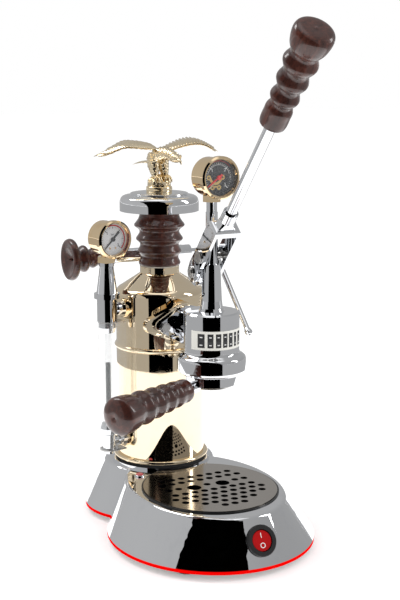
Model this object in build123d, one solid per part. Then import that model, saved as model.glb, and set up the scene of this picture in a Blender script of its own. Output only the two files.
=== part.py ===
from build123d import *
from math import atan2, cos, degrees, hypot, radians, sin, tan
import os

# Lever espresso machine, in millimetres, +Z up, the lever at the front (-Y) and the user's right at +X.
# It is modelled about the boiler's axis with the floor at zero, and moved at the end so that the middle
# of its footprint is the origin.

# Fits
slip_fit = 0.05              # radial play of pieces that are fixed to each other
running_fit = 0.06           # radial play of a shaft in its hole
moving_gap = 0.35            # free space beside pieces that move
overrun = 4.0                # how far a cutting solid passes the face that it cuts

# Base
foot_radius = 10.0
foot_height = 6.0
foot_recess_radius = 5.4
foot_recess_depth = 3.4
shell_height = 44.5          # from the feet to the deck
shell_wall = 1.6
shoulder_radius = 4.0
trim_height = 3.2
trim_thickness = 0.8
front_lobe_half_width = 100.0
front_lobe_half_length = 107.3
front_lobe_reach = 114.0     # the lobe's centre lies this far in front of the boiler
front_deck_half_width = 72.0
front_deck_half_length = 100.0
front_deck_reach = 100.0
rear_lobe_half_width = 83.5
rear_lobe_half_length = 71.0
rear_lobe_reach = 5.0
rear_deck_half_width = 57.0
rear_deck_half_length = 53.8
rear_deck_reach = -5.0
seat_radius = 51.5
seat_height = 2.5
bottom_plate_thickness = 1.5
post_radius = 5.0
front_post_side = 56.0
front_post_reach = 176.0
rear_post_side = 48.0
rear_post_reach = -36.0
screw_radius = 1.9
screw_head_radius = 3.8
screw_head_height = 2.0
screw_length = 19.0

# Mains inlet gland and wiring
gland_height = 22.0
gland_radius = 6.0
gland_flange_radius = 8.5
gland_flange_thickness = 3.0
gland_nose_length = 9.0
gland_nose_radius = 4.4
gland_inner_length = 15.0
gland_nut_length = 4.5
cord_bore_radius = 2.6
gland_pad_radius = 10.5
loom_radius = 1.8
loom_height = 14.0
loom_bend = 7.0

# Switch and pilot lamp
switch_side = 2.5
switch_height = 30.3
bezel_radius = 14.75
bezel_thickness = 3.0
bezel_sink = 1.2             # how deep the bezel sits in its pocket in the curved wall
bezel_rounding = 1.2
barrel_radius = 13.4
barrel_length = 18.0
rocker_radius = 9.65
rocker_thickness = 6.0
rocker_proud = 2.0
rocker_gap = 0.6
rocker_pin_radius = 0.8
rocker_pin_length = 1.4
lamp_side = -47.0
lamp_reach = 50.5
lamp_radius = 5.0
lamp_rim_height = 1.6
lamp_depth = 9.0
lens_radius = 3.8
lens_height = 2.6

# Drip tray and grate
tray_half_width = 66.0
tray_half_length = 71.5
tray_reach = 113.7
tray_seat_gap = 2.2          # from the boiler's seat to the tray's hollow rear edge
tray_rim_height = 1.0
tray_rim_width = 1.3
tray_hang = 2.2              # how far the rim laps over the deck
tray_wall = 1.4
tray_depth = 20.0
ledge_height = 0.5
grate_thickness = 1.2
grate_edge = 0.5
hole_radius = 3.55
hole_pitch = 10.35
hole_middle_reach = 115.0
finger_hole_radius = 7.0
finger_hole_side_share = 1.5      # of the hole pitch
finger_hole_row_share = 0.435     # of the hole pitch
hole_row_shares = [(3.25, 8), (2.18, 9), (0.725, 9), (-0.725, 9), (-1.77, 10), (-2.80, 9), (-3.83, 6), (-4.85, 3)]

# Boiler
boiler_radius = 45.5
boiler_wall = 1.8
boiler_skirt_radius = 44.0
boiler_skirt_drop = 11.0     # below the top of the seat
gasket_thickness = 2.0
flange_radius = 49.6
flange_thickness = 4.0
waist_bead_height = 120.5    # above the top of the seat
waist_bead_radius = 47.4
waist_bead_half_height = 2.5
shoulder_height = 175.0      # above the top of the seat
shoulder_rise = 6.5
shoulder_top_radius = 40.4
cone_height = 20.0           # above the shoulder
cone_top_radius = 19.9
neck_radius = 20.2
neck_bore = 17.0
neck_height = 6.8
lock_ring_radius = 50.0
lock_ring_height = 8.0
element_plate_thickness = 4.0
element_tube_radius = 3.4
element_height = 62.0
element_loop_radius = 12.0
element_spacing = 30.0
thermostat_width = 18.0
thermostat_depth = 13.0
thermostat_height = 12.0
thermostat_side = 14.0

# Boiler's side flange and the group's flange
flange_height = 152.0        # of the flanges' middle, above the top of the seat
flange_neck_radius = 19.0
gold_flange_reach = 60.0     # front face, from the boiler's axis
gold_flange_thickness = 8.0
gold_flange_middle_radius = 21.0
gold_flange_end_radius = 8.0
gold_flange_end_side = 34.6
group_gasket_thickness = 1.0
group_flange_thickness = 7.5
group_flange_middle_radius = 19.5
group_flange_end_radius = 6.0
flange_bolt_side = 26.5
flange_bolt_radius = 2.9
flange_bolt_head_radius = 5.0
flange_bolt_head_height = 3.6
water_bore = 2.0

# Sight glass
sight_reach = 66.0           # from the boiler's axis
sight_turn = 12.0            # degrees towards the front from the user's left
sight_upper_height = 163.0   # of the upper stub, above the top of the seat
sight_lower_height = 27.0
sight_pad_radius = 9.5
sight_pad_reach = 49.5
sight_stub_radius = 5.0
sight_collar_radius = 6.6
sight_collar_length = 6.0
upper_body_radius = 10.2
upper_body_drop = 11.0       # below the stub's axis
upper_body_rise = 12.4
upper_ring_radius = 13.0
upper_ring_height = 5.0
upper_cone_height = 27.4
upper_cone_radius = 10.6
upper_cone_top_radius = 6.8
upper_collar_radius = 7.5
upper_collar_height = 3.6
lower_body_radius = 6.6
lower_body_drop = 8.2
lower_body_rise = 7.0
drain_radius = 4.0
drain_height = 4.2
spigot_radius = 6.0
spigot_length = 7.0
glass_radius = 4.0
glass_wall = 1.3
glass_sink = 6.0             # how far the tube enters each fitting
gauge_bore = 1.5
sight_nut_radius = 8.8
sight_nut_end_radius = 7.1
sight_nut_length = 10.5
clip_thickness = 1.2
guard_radius = 11.1
guard_wall = 1.5
guard_leg = 15.0

# Gauges
gauge_bezel_depth = 6.5
gauge_bezel_lip = 1.7        # how far the bezel stands out over the case
gauge_case_back = 6.6        # behind the stem's axis
gauge_front = 18.0           # the bezel's front, ahead of the stem's axis
gauge_wall = 1.5
gauge_window_margin = 2.5    # between the edges of the window and the bezel
gauge_window_thickness = 1.6
gauge_window_sink = 3.2
gauge_dial_margin = 3.3
gauge_dial_thickness = 0.8
gauge_dial_sink = 7.0
gauge_needle_margin = 1.8    # between the needle's tip and the dial's edge
gauge_needle_half_width = 1.1
gauge_needle_thickness = 0.7
gauge_hub_radius = 2.2
gauge_hub_height = 1.5
gauge_pin_radius = 0.6
gauge_hex_radius = 8.1
gauge_hex_height = 6.1
gauge_stem_radius = 5.2
boiler_gauge_radius = 18.9   # of the bezel
boiler_gauge_turn = 10.0     # degrees that the face looks towards the user's right
boiler_gauge_rise = 24.4     # from the stem's foot to the dial's middle
boiler_needle_turn = 225.0   # degrees of the needle at rest, anticlockwise from three o'clock
boiler_needle_tail = 10.0
group_gauge_radius = 20.0
group_gauge_turn = 4.0
group_gauge_rise = 23.1
group_needle_turn = 215.0
group_needle_tail = 4.6

# Steam valve and wand
valve_reach = -33.0
valve_rise = 14.0            # of the valve's axis, above the cone
valve_radius = 7.5
valve_left = 37.0
valve_right = 41.0
valve_stem_radius = 7.0
packing_nut_radius = 6.2
packing_nut_length = 13.0
spindle_radius = 3.0
spindle_inner_length = 20.0
knob_gap = 2.6               # between the packing nut and the knob, closed valve
knob_length = 36.2
knob_radius = 21.5
knob_sink = 20.0             # how far the spindle enters the knob
wand_nut_radius = 7.2
wand_nut_length = 9.0
wand_stub_radius = 3.9
wand_tube_radius = 2.9
wand_bore = 1.2
wand_side = 80.0
wand_bend = 11.0
wand_drop_turn = 44.4        # degrees below level
wand_length = 113.0
wand_nozzle_radius = 4.3
wand_nozzle_length = 8.0
safety_side = 12.0
safety_radius = 5.4
safety_height = 16.0

# Boiler cap
seal_radius = 19.2
seal_thickness = 1.4
plug_depth = 11.0
plug_stud_radius = 5.0
wood_radius = 25.9
wood_height = 55.6
wood_profile_shares = [
    (0.80, 0.000), (0.83, 0.030), (0.78, 0.100), (0.76, 0.172), (0.83, 0.215), (0.87, 0.257),
    (0.83, 0.300), (0.77, 0.386), (0.84, 0.432), (0.93, 0.480), (0.88, 0.530), (0.79, 0.628),
    (0.88, 0.680), (1.00, 0.732), (0.93, 0.790), (0.83, 0.860), (0.79, 0.914), (0.79, 1.000),
]
disc_radius = 40.4
disc_rim_height = 7.0
disc_height = 19.0
disc_rounding_radius = 30.0  # where the rounded rim meets the flat dome
disc_wall = 2.5
disc_boss_radius = 21.0
disc_recess_depth = 5.0

# Eagle on its rock, on the cap's disc
rock_radius = 13.0
rock_height = 14.5
perch_height = 30.0          # of the body's middle above the disc
eagle_body_radius = 10.5
eagle_head_reach = 38.0
eagle_head_rise = 6.5
eagle_head_radius = 5.4
eagle_beak_reach = 52.9
eagle_beak_drop = 2.2
eagle_beak_radius = 2.4
eagle_tail_reach = 44.3
eagle_tail_drop = 3.5
eagle_tail_half_width = 12.0
eagle_tail_thickness = 3.0
wing_span = 71.0             # from the middle to a wing's tip
wing_ridge_side = 36.0
wing_ridge_rise = 24.0
wing_root_side = 8.0
wing_root_rise = 6.0
wing_tip_rise = 8.0
wing_tip_back = 9.0
wing_thickness = 3.2
wing_root_chord = 24.0
wing_ridge_chord = 33.0
wing_tip_chord = 7.0

# Group
group_reach = 116.5
bell_drop = 37.0             # from the flanges' middle to the bell's foot
bell_foot_radius = 29.0
bell_radius = 33.0
bell_rounding = 4.0
bell_height = 14.0
waist_height = 23.0          # where the bell has narrowed to the cylinder
cylinder_radius = 26.6
cylinder_height = 60.0
cylinder_rounding = 1.5
sleeve_bore = 22.0
sleeve_wall = 1.35
cylinder_floor = 12.0        # lip that carries the sleeve, above the bell's foot
cylinder_floor_thickness = 2.0
cylinder_floor_bore = 19.0
cylinder_roof_thickness = 5.0
group_neck_radius = 14.5
bayonet_lip_thickness = 3.0
bayonet_bore = 26.6
bayonet_chamber_radius = 29.6
bayonet_chamber_height = 5.2
seal_inner_radius = 20.4
seal_outer_radius = 27.4
group_seal_thickness = 3.4
screen_radius = 20.2
screen_thickness = 0.8
screen_drop = 2.4
screen_hole_radius = 1.0
screen_hole_rings = 3
column_foot_radius = 12.5
column_foot_height = 3.0
column_low_radius = 10.8
column_waist_height = 10.0
column_waist_radius = 9.85
column_top_radius = 8.2
column_height = 45.0
column_slot_start = 17.5     # of the slot's foot above the column's foot
strip_foot = 27.0            # above the bell's foot
strip_height = 18.0
strip_thickness = 0.25
strip_start_turn = -56.0     # degrees from the front, towards the user's left
strip_end_turn = 72.0

# Lever, in its own frame: along the lever from the fulcrum, and across it towards the rear
lever_rise = 48.8            # degrees above level at rest
fulcrum_setback = 16.0       # behind the group's axis
fulcrum_height = 95.8        # above the bell's foot
fulcrum_pin_radius = 3.5
fulcrum_clip_radius = 5.5
clip_ring_thickness = 1.0
lug_radius = 13.5
lug_half_width = 9.8
lug_arm_length = 22.0
lug_arm_offset = 9.5
lug_arm_radius = 3.0
arm_gap = 0.4                # between the lug and each arm
arm_thickness = 3.3
arm_half_depth = 9.0
arm_offset = -1.2
arm_length = 58.0
crossbar_length = 7.0
crossbar_rounding = 3.0
socket_radius = 7.2
socket_mouth_radius = 6.1
socket_mouth_depth = 4.0
socket_end = 82.1
socket_start = 71.0         # where the shoulder has run into the socket
socket_bore_start = 68.0
lever_rod_radius = 5.0
lever_rod_end = 214.0
handle_start = 191.6
handle_length = 101.6
handle_radius = 17.7
handle_profile_shares = [
    (0.655, 0.000), (0.684, 0.029), (0.684, 0.122), (0.667, 0.176), (0.571, 0.225), (0.723, 0.291),
    (0.588, 0.378), (0.785, 0.466), (0.661, 0.560), (0.864, 0.656), (0.706, 0.737), (0.859, 0.801),
    (0.949, 0.850), (1.000, 0.905), (0.994, 0.944), (0.921, 0.974), (0.678, 0.992), (0.000, 1.000),
]
lever_drop_travel = 65.0     # degrees
lever_raise_travel = 8.0

# Piston, which travels down the group's axis as the lever turns
piston_pin_height = 112.4    # of the roller pin above the bell's foot, at rest
piston_travel_rate = 20.5    # of travel for each radian of the lever
piston_height = 10.0
piston_top = 49.0            # above the bell's foot, at rest
seal_groove_depth = 1.6
seal_groove_height = 2.2
seal_groove_edge = 1.6
rod_radius = 5.66
rod_top_radius = 5.0
rod_shoulder = 154.0         # above the bell's foot
rod_top = 163.7
rod_spigot_radius = 4.0
rod_bore = 1.6
roller_pin_radius = 3.0
roller_head_radius = 6.3
roller_head_thickness = 1.2
pin_slot_start = 17.2        # first and last centre of the arm's slot, from the fulcrum
pin_slot_end = 24.5
pin_slot_width = 9.8
pin_slot_turn = -2.4         # degrees from the lever's axis

# Portafilter
handle_turn = 25.0           # degrees towards the front from the user's left
handle_droop = 2.3
ring_radius = 26.0
ring_foot = -9.5             # below the bell's foot
ring_top = 7.0
ring_bore = 23.4
ear_radius = 28.8
ear_thickness = 2.8
ear_half_turn = 16.0         # degrees
ear_gap_half_turn = 19.0
entry_turn = -40.0           # degrees from rest at which the portafilter drops out
quarter_turn = 90.0
basket_radius = 22.8
basket_wall = 0.8
basket_foot = -13.0
basket_foot_radius = 19.0
basket_rim_radius = 25.4
ferrule_start = 23.0
ferrule_end = 40.2
ferrule_radius = 7.0
ferrule_root_radius = 5.6
handle_drop = 8.3            # from the bell's foot to the handle's axis at the ring
tang_radius = 4.0
tang_length = 22.0
grip_length = 98.0
grip_radius = 17.5
grip_profile_shares = [
    (0.629, 0.000), (0.657, 0.034), (0.651, 0.090), (0.714, 0.177), (0.663, 0.238), (0.771, 0.299),
    (0.703, 0.376), (0.823, 0.457), (0.754, 0.544), (0.897, 0.631), (0.800, 0.712), (0.880, 0.763),
    (0.966, 0.835), (1.000, 0.911), (0.977, 0.952), (0.834, 0.982), (0.000, 1.000),
]
knob_profile_shares = [
    (0.326, 0.000), (0.400, 0.122), (0.465, 0.276), (0.419, 0.348), (0.605, 0.448), (0.647, 0.519),
    (0.567, 0.608), (0.502, 0.680), (0.698, 0.757), (0.944, 0.807), (1.000, 0.873), (0.986, 0.939),
    (0.940, 0.978), (0.884, 0.989), (0.000, 1.000),
]

# Levels above the floor that the sub-assemblies share
shell_foot = foot_height
trim_top = shell_foot + trim_height
deck = shell_foot + shell_height
seat_top = deck + seat_height
gasket_top = seat_top + gasket_thickness
boiler_cone_top = seat_top + shoulder_height + cone_height
boiler_top = boiler_cone_top + neck_height
flange_level = seat_top + flange_height
bell_foot_height = flange_level - bell_drop
disc_foot = boiler_top + seal_thickness + wood_height
disc_top = disc_foot + disc_height
valve_level = boiler_cone_top + valve_rise
group_flange_back = gold_flange_reach + group_gasket_thickness
group_flange_front = group_flange_back + group_flange_thickness
column_foot = bell_foot_height + cylinder_height
column_top = column_foot + column_height
fulcrum_level = bell_foot_height + fulcrum_height
pin_level = bell_foot_height + piston_pin_height
arm_inner = lug_half_width + arm_gap
arm_outer = arm_inner + arm_thickness

# Places and frames that the joints use
fulcrum_point = Vector(0, -group_reach + fulcrum_setback, fulcrum_level)
lever_direction = Vector(0, -cos(radians(lever_rise)), sin(radians(lever_rise)))
lever_frame = Plane(origin=fulcrum_point, x_dir=Vector(1, 0, 0), z_dir=lever_direction)
front_wall_angle = atan2(front_lobe_reach + front_lobe_half_length - front_deck_reach - front_deck_half_length,
                         deck - trim_top)
switch_direction = Vector(0, -cos(front_wall_angle), sin(front_wall_angle))
switch_point = Vector(
    switch_side,
    -front_lobe_reach - front_lobe_half_length + (switch_height - trim_top) * tan(front_wall_angle),
    switch_height,
)
switch_frame = Plane(origin=switch_point, x_dir=Vector(1, 0, 0), z_dir=switch_direction)
sight_direction = Vector(-cos(radians(sight_turn)), -sin(radians(sight_turn)), 0)
sight_point = sight_direction * sight_reach
sight_foot_level = seat_top + sight_lower_height - lower_body_drop
sight_neck_level = seat_top + sight_upper_height + upper_body_rise
sight_top_level = sight_neck_level + upper_ring_height + upper_cone_height + upper_collar_height
boiler_gauge_point = sight_point + Vector(0, 0, sight_top_level + boiler_gauge_rise)
group_gauge_point = Vector(0, -group_reach, bell_foot_height + rod_top + group_gauge_rise)
wand_point = Vector(valve_right, -valve_reach, valve_level)
knob_point = Vector(-valve_left - packing_nut_length, -valve_reach, valve_level)
handle_direction = Vector(-cos(radians(handle_turn)), -sin(radians(handle_turn)), 0)


def turned(points):
    """Solid turned about Z from an outline of (radius, height) points joined by straight lines."""
    return revolve(make_face(Polyline([(radius, 0, height) for radius, height in points], close=True)), Axis.Z)


def turned_smooth(shares, radius, length):
    """Solid turned about Z from a smooth profile, whose points are shares of a radius and a length."""
    points = [(share * radius, 0, rise * length) for share, rise in shares]
    profile = Spline(points)
    closing = Polyline([points[-1], (0, 0, length), (0, 0, 0), points[0]] if shares[-1][0] else
                       [points[-1], (0, 0, 0), points[0]])
    return revolve(make_face([profile, closing]), Axis.Z)


def rod_along_x(radius, start, end, y, z):
    """Round bar along X between two places."""
    return Pos(start, y, z) * Rot(0, 90, 0) * cylinder(radius, 0, end - start)


def cylinder(radius, foot, top):
    """Upright round bar about Z between two levels."""
    return extrude(Pos(0, 0, foot) * Circle(radius), top - foot)


def tube(outer, inner, foot, top):
    """Upright tube about Z between two levels."""
    return extrude(Pos(0, 0, foot) * (Circle(outer) - Circle(inner)), top - foot)


def oval(half_width, half_length, reach, level):
    """Level oval face whose middle lies in front of the boiler by reach."""
    return Pos(0, -reach, level) * scale(Circle(1), by=(half_width, half_length, 1))


def hull_of_circles(circles):
    """Face wrapped tightly round circles, each given as x, y and radius."""
    return make_hull([edge for x, y, radius in circles for edge in (Pos(x, y) * Circle(radius)).edges()])


def lobe(inset, top_level):
    """The two sloping lobes of the base, drawn in by an inset, up to a level."""
    front = loft([
        oval(front_lobe_half_width - inset, front_lobe_half_length - inset, front_lobe_reach, trim_top),
        oval(front_deck_half_width - inset, front_deck_half_length - inset, front_deck_reach, top_level),
    ])
    rear = loft([
        oval(rear_lobe_half_width - inset, rear_lobe_half_length - inset, rear_lobe_reach, trim_top),
        oval(rear_deck_half_width - inset, rear_deck_half_length - inset, rear_deck_reach, top_level),
    ])
    rounding = max(shoulder_radius - inset, shoulder_radius / 4)
    front = fillet(front.edges().group_by(Axis.Z)[-1], rounding)
    rear = fillet(rear.edges().group_by(Axis.Z)[-1], rounding)
    return front + rear


def foot_outline(inset, level, height):
    """Straight-sided slab with the base's outline at the foot, drawn in by an inset."""
    front = extrude(oval(front_lobe_half_width - inset, front_lobe_half_length - inset,
                         front_lobe_reach, level), height)
    rear = extrude(oval(rear_lobe_half_width - inset, rear_lobe_half_length - inset,
                        rear_lobe_reach, level), height)
    return front + rear


def tray_slab(inset, level, height):
    """Slab with the drip tray's outline, drawn in by an inset, its rear edge hollowed round the boiler's seat."""
    outline = oval(tray_half_width - inset, tray_half_length - inset, tray_reach, level)
    seat = Pos(0, 0, level) * Circle(seat_radius + tray_seat_gap + inset)
    return extrude(outline - seat, height)


def post_places():
    """Middles of the four screw posts."""
    return [(side * spread, -reach)
            for spread, reach in ((front_post_side, front_post_reach), (rear_post_side, rear_post_reach))
            for side in (-1, 1)]


def build_base():
    """Shell, trim, bottom plate, feet and screws."""
    gland_face = rear_lobe_half_length - rear_lobe_reach
    pad = Pos(0, gland_face, gland_height) * Rot(90, 0, 0) * cylinder(gland_pad_radius, 0, gland_inner_length)
    outer = lobe(0, deck) + foot_outline(trim_thickness, shell_foot, trim_height) + pad
    inner = lobe(shell_wall, deck - shell_wall)
    inner += foot_outline(trim_thickness + shell_wall, shell_foot, trim_height + slip_fit)
    shell = outer - inner
    shell += cylinder(seat_radius, deck - shell_wall, seat_top)
    for x, y in post_places():
        post = Pos(x, y) * cylinder(post_radius, shell_foot + bottom_plate_thickness, deck - slip_fit)
        post_bore = Pos(x, y) * cylinder(screw_radius + slip_fit, shell_foot, foot_recess_depth + screw_length)
        shell += post & outer
        shell -= post_bore
    shell -= cylinder(boiler_skirt_radius + slip_fit, deck - overrun, seat_top + overrun)
    shell -= tray_slab(tray_hang - moving_gap, deck - tray_depth - overrun, tray_depth + 2 * overrun)
    shell -= Pos(0, gland_face + overrun, gland_height) * Rot(90, 0, 0) * cylinder(
        gland_radius + slip_fit, 0, gland_inner_length + 2 * overrun)
    shell -= switch_frame * cylinder(barrel_radius + slip_fit, -barrel_length, overrun)
    shell -= switch_frame * cylinder(bezel_radius + slip_fit, -bezel_sink, overrun)
    shell -= Pos(lamp_side, -lamp_reach) * cylinder(lens_radius + slip_fit, deck - lamp_depth, deck + overrun)
    trim = foot_outline(0, shell_foot, trim_height) - foot_outline(trim_thickness, shell_foot, trim_height)
    plate = foot_outline(trim_thickness + shell_wall + moving_gap, shell_foot, bottom_plate_thickness)
    feet = Part()
    screws = Part()
    for x, y in post_places():
        plate -= Pos(x, y) * cylinder(screw_radius + moving_gap, 0, shell_foot + overrun)
        foot = tube(foot_radius, screw_radius + moving_gap, 0, foot_height)
        foot -= cylinder(foot_recess_radius, -overrun, foot_recess_depth)
        foot = fillet(foot.edges().group_by(Axis.Z)[0].sort_by(SortBy.RADIUS)[-1], screw_radius / 2)
        feet += Pos(x, y) * foot
        screw = cylinder(screw_radius, foot_recess_depth - screw_head_height, foot_recess_depth + screw_length)
        screw += cylinder(screw_head_radius, foot_recess_depth - screw_head_height, foot_recess_depth)
        screws += Pos(x, y) * screw
    return {
        "base_shell": shell,
        "base_trim_strip": trim,
        "bottom_plate": plate,
        "rubber_feet": feet,
        "base_screws": screws,
    }


def build_inlet():
    """Cord gland through the rear pad, its nut, and the loom from it to the switch."""
    face = rear_lobe_half_length - rear_lobe_reach
    gland = turned([
        (cord_bore_radius, -gland_inner_length), (gland_radius, -gland_inner_length), (gland_radius, 0),
        (gland_flange_radius, 0), (gland_flange_radius, gland_flange_thickness),
        (gland_radius, gland_flange_thickness),
        (gland_nose_radius, gland_flange_thickness + gland_nose_length),
        (cord_bore_radius, gland_flange_thickness + gland_nose_length),
    ])
    nut = tube(gland_flange_radius, gland_radius + slip_fit, -gland_inner_length, gland_nut_length - gland_inner_length)
    place = Pos(0, face, gland_height) * Rot(-90, 0, 0)
    barrel_end = switch_point - switch_direction * barrel_length
    route_end = barrel_end - switch_direction * (2 * loom_bend)
    start = face - gland_inner_length
    corners = [
        (0, start, gland_height),
        (0, start - 3 * loom_bend, gland_height),
        (0, start - 5 * loom_bend, loom_height),
        (switch_side, route_end.Y + 3 * loom_bend, loom_height),
        (route_end.X, route_end.Y, route_end.Z),
        (barrel_end.X, barrel_end.Y, barrel_end.Z),
    ]
    route = FilletPolyline(corners, radius=loom_bend)
    section = Plane(origin=corners[0], z_dir=Vector(0, -1, 0)) * Circle(loom_radius)
    return {"power_inlet": place * gland + place * nut, "wiring_loom": sweep(section, path=route)}


def build_switch():
    """Round switch on the sloping front wall, and the pilot lamp on the deck."""
    bore = rocker_radius + rocker_gap
    pivot = rocker_proud - rocker_thickness / 2
    housing = cylinder(bezel_radius, -bezel_sink, bezel_thickness)
    housing = fillet(housing.edges().group_by(Axis.Z)[-1], bezel_rounding)
    housing += cylinder(barrel_radius, -barrel_length, 0)
    housing -= cylinder(bore, rocker_proud - rocker_thickness - overrun, bezel_thickness + overrun)
    pin_reach = bore + rocker_pin_length
    housing -= rod_along_x(rocker_pin_radius + running_fit, -pin_reach, pin_reach, 0, pivot)
    rocker = cylinder(rocker_radius, rocker_proud - rocker_thickness, rocker_proud)
    rocker = fillet(rocker.edges().group_by(Axis.Z)[-1], rocker_pin_radius / 2)
    rocker += rod_along_x(rocker_pin_radius, moving_gap - pin_reach, pin_reach - moving_gap, 0, pivot)
    lamp_place = Pos(lamp_side, -lamp_reach, deck)
    rim = tube(lamp_radius, lens_radius - slip_fit, 0, lamp_rim_height)
    rim = fillet(rim.edges().group_by(Axis.Z)[-1].sort_by(SortBy.RADIUS)[-1], lamp_rim_height / 2)
    rim -= cylinder(lens_radius, 0, overrun)
    lens = cylinder(lens_radius - slip_fit, -lamp_depth, lens_height)
    lens = fillet(lens.edges().group_by(Axis.Z)[-1], lamp_rim_height / 2)
    return {
        "switch_housing": switch_frame * housing,
        "switch_rocker": switch_frame * rocker,
        "pilot_lamp_bezel": lamp_place * rim,
        "pilot_lamp_lens": lamp_place * lens,
    }


def build_tray():
    """Drip tray that hangs in the deck by its rim, and the perforated grate that lies in the rim."""
    tray = tray_slab(0, deck, tray_rim_height) + tray_slab(tray_hang, deck - tray_depth, tray_depth)
    tray -= tray_slab(tray_rim_width, deck + ledge_height, tray_rim_height)
    tray -= tray_slab(tray_hang + tray_wall, deck - tray_depth + tray_wall, tray_depth + overrun)
    level = deck + ledge_height
    grate = tray_slab(tray_rim_width + moving_gap, level, grate_thickness)
    finger_holes = [(side * finger_hole_side_share * hole_pitch,
                     finger_hole_row_share * hole_pitch - hole_middle_reach) for side in (-1, 1)]
    web = finger_hole_radius + hole_radius + grate_thickness
    holes = Sketch()
    for x, y in finger_holes:
        holes += Pos(x, y) * Circle(finger_hole_radius)
    for row_share, count in hole_row_shares:
        y = row_share * hole_pitch - hole_middle_reach
        for index in range(count):
            x = (index - (count - 1) / 2) * hole_pitch
            if min(hypot(x - a, y - b) for a, b in finger_holes) > web:
                holes += Pos(x, y) * Circle(hole_radius)
    grate -= extrude(Pos(0, 0, level - overrun) * holes, grate_thickness + 2 * overrun)
    return {"drip_tray": tray, "drip_grate": grate}


def boiler_outline(inset):
    """Outline of the boiler's outside, or of its inside when it is drawn in by the wall."""
    shoulder = seat_top + shoulder_height
    bead = seat_top + waist_bead_height
    flange_top = gasket_top + flange_thickness
    foot = seat_top - boiler_skirt_drop
    radius = boiler_radius - inset
    edges = [Polyline([(0, 0, foot), (boiler_skirt_radius - inset, 0, foot)])]
    if inset:
        edges.append(Polyline([(boiler_skirt_radius - inset, 0, foot), (boiler_skirt_radius - inset, 0, gasket_top),
                               (radius, 0, flange_top), (radius, 0, shoulder)]))
    else:
        rim = flange_radius - flange_thickness / 2
        edges.append(Polyline([(boiler_skirt_radius, 0, foot), (boiler_skirt_radius, 0, gasket_top),
                               (rim, 0, gasket_top)]))
        edges.append(ThreePointArc((rim, 0, gasket_top), (flange_radius, 0, gasket_top + flange_thickness / 2),
                                   (rim, 0, flange_top)))
        edges.append(Polyline([(rim, 0, flange_top), (radius, 0, flange_top),
                               (radius, 0, bead - waist_bead_half_height)]))
        edges.append(ThreePointArc((radius, 0, bead - waist_bead_half_height), (waist_bead_radius, 0, bead),
                                   (radius, 0, bead + waist_bead_half_height)))
        edges.append(Polyline([(radius, 0, bead + waist_bead_half_height), (radius, 0, shoulder)]))
    round_end = (shoulder_top_radius - inset, 0, shoulder + shoulder_rise - inset / 2)
    bulge = (boiler_radius - shoulder_top_radius) / 5
    round_middle = ((radius + round_end[0]) / 2 + bulge, 0, shoulder + (shoulder_rise - inset / 2) * 0.58)
    edges.append(ThreePointArc((radius, 0, shoulder), round_middle, round_end))
    neck = neck_bore if inset else neck_radius
    cone_level = boiler_cone_top - inset
    edges.append(Polyline([round_end, (cone_top_radius - inset, 0, cone_level), (neck, 0, cone_level),
                           (neck, 0, boiler_top), (0, 0, boiler_top), (0, 0, foot)]))
    return make_face(edges)


def boiler_side(level):
    """Radius of the boiler's outside at a level of its straight side or, above the shoulder, of its cone."""
    shoulder = seat_top + shoulder_height
    if level <= shoulder:
        return boiler_radius
    return boiler_radius - (level - shoulder) * (boiler_radius - cone_top_radius) / cone_height


def flange_face(middle_radius, end_radius, end_side):
    """Long oval flange with narrow ends, standing across the machine."""
    return hull_of_circles([(0, 0, middle_radius), (-end_side, 0, end_radius), (end_side, 0, end_radius)])


def facing_front(reach, level):
    """Frame on the machine's centre line whose Z points to the front."""
    return Plane(origin=(0, -reach, level), x_dir=Vector(1, 0, 0), z_dir=Vector(0, -1, 0))


def sight_frame(reach, level):
    """Frame on the sight glass's radius whose Z points away from the boiler."""
    origin = sight_direction * reach + Vector(0, 0, level)
    return Plane(origin=origin, x_dir=Vector(0, 0, 1), z_dir=sight_direction)


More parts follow.
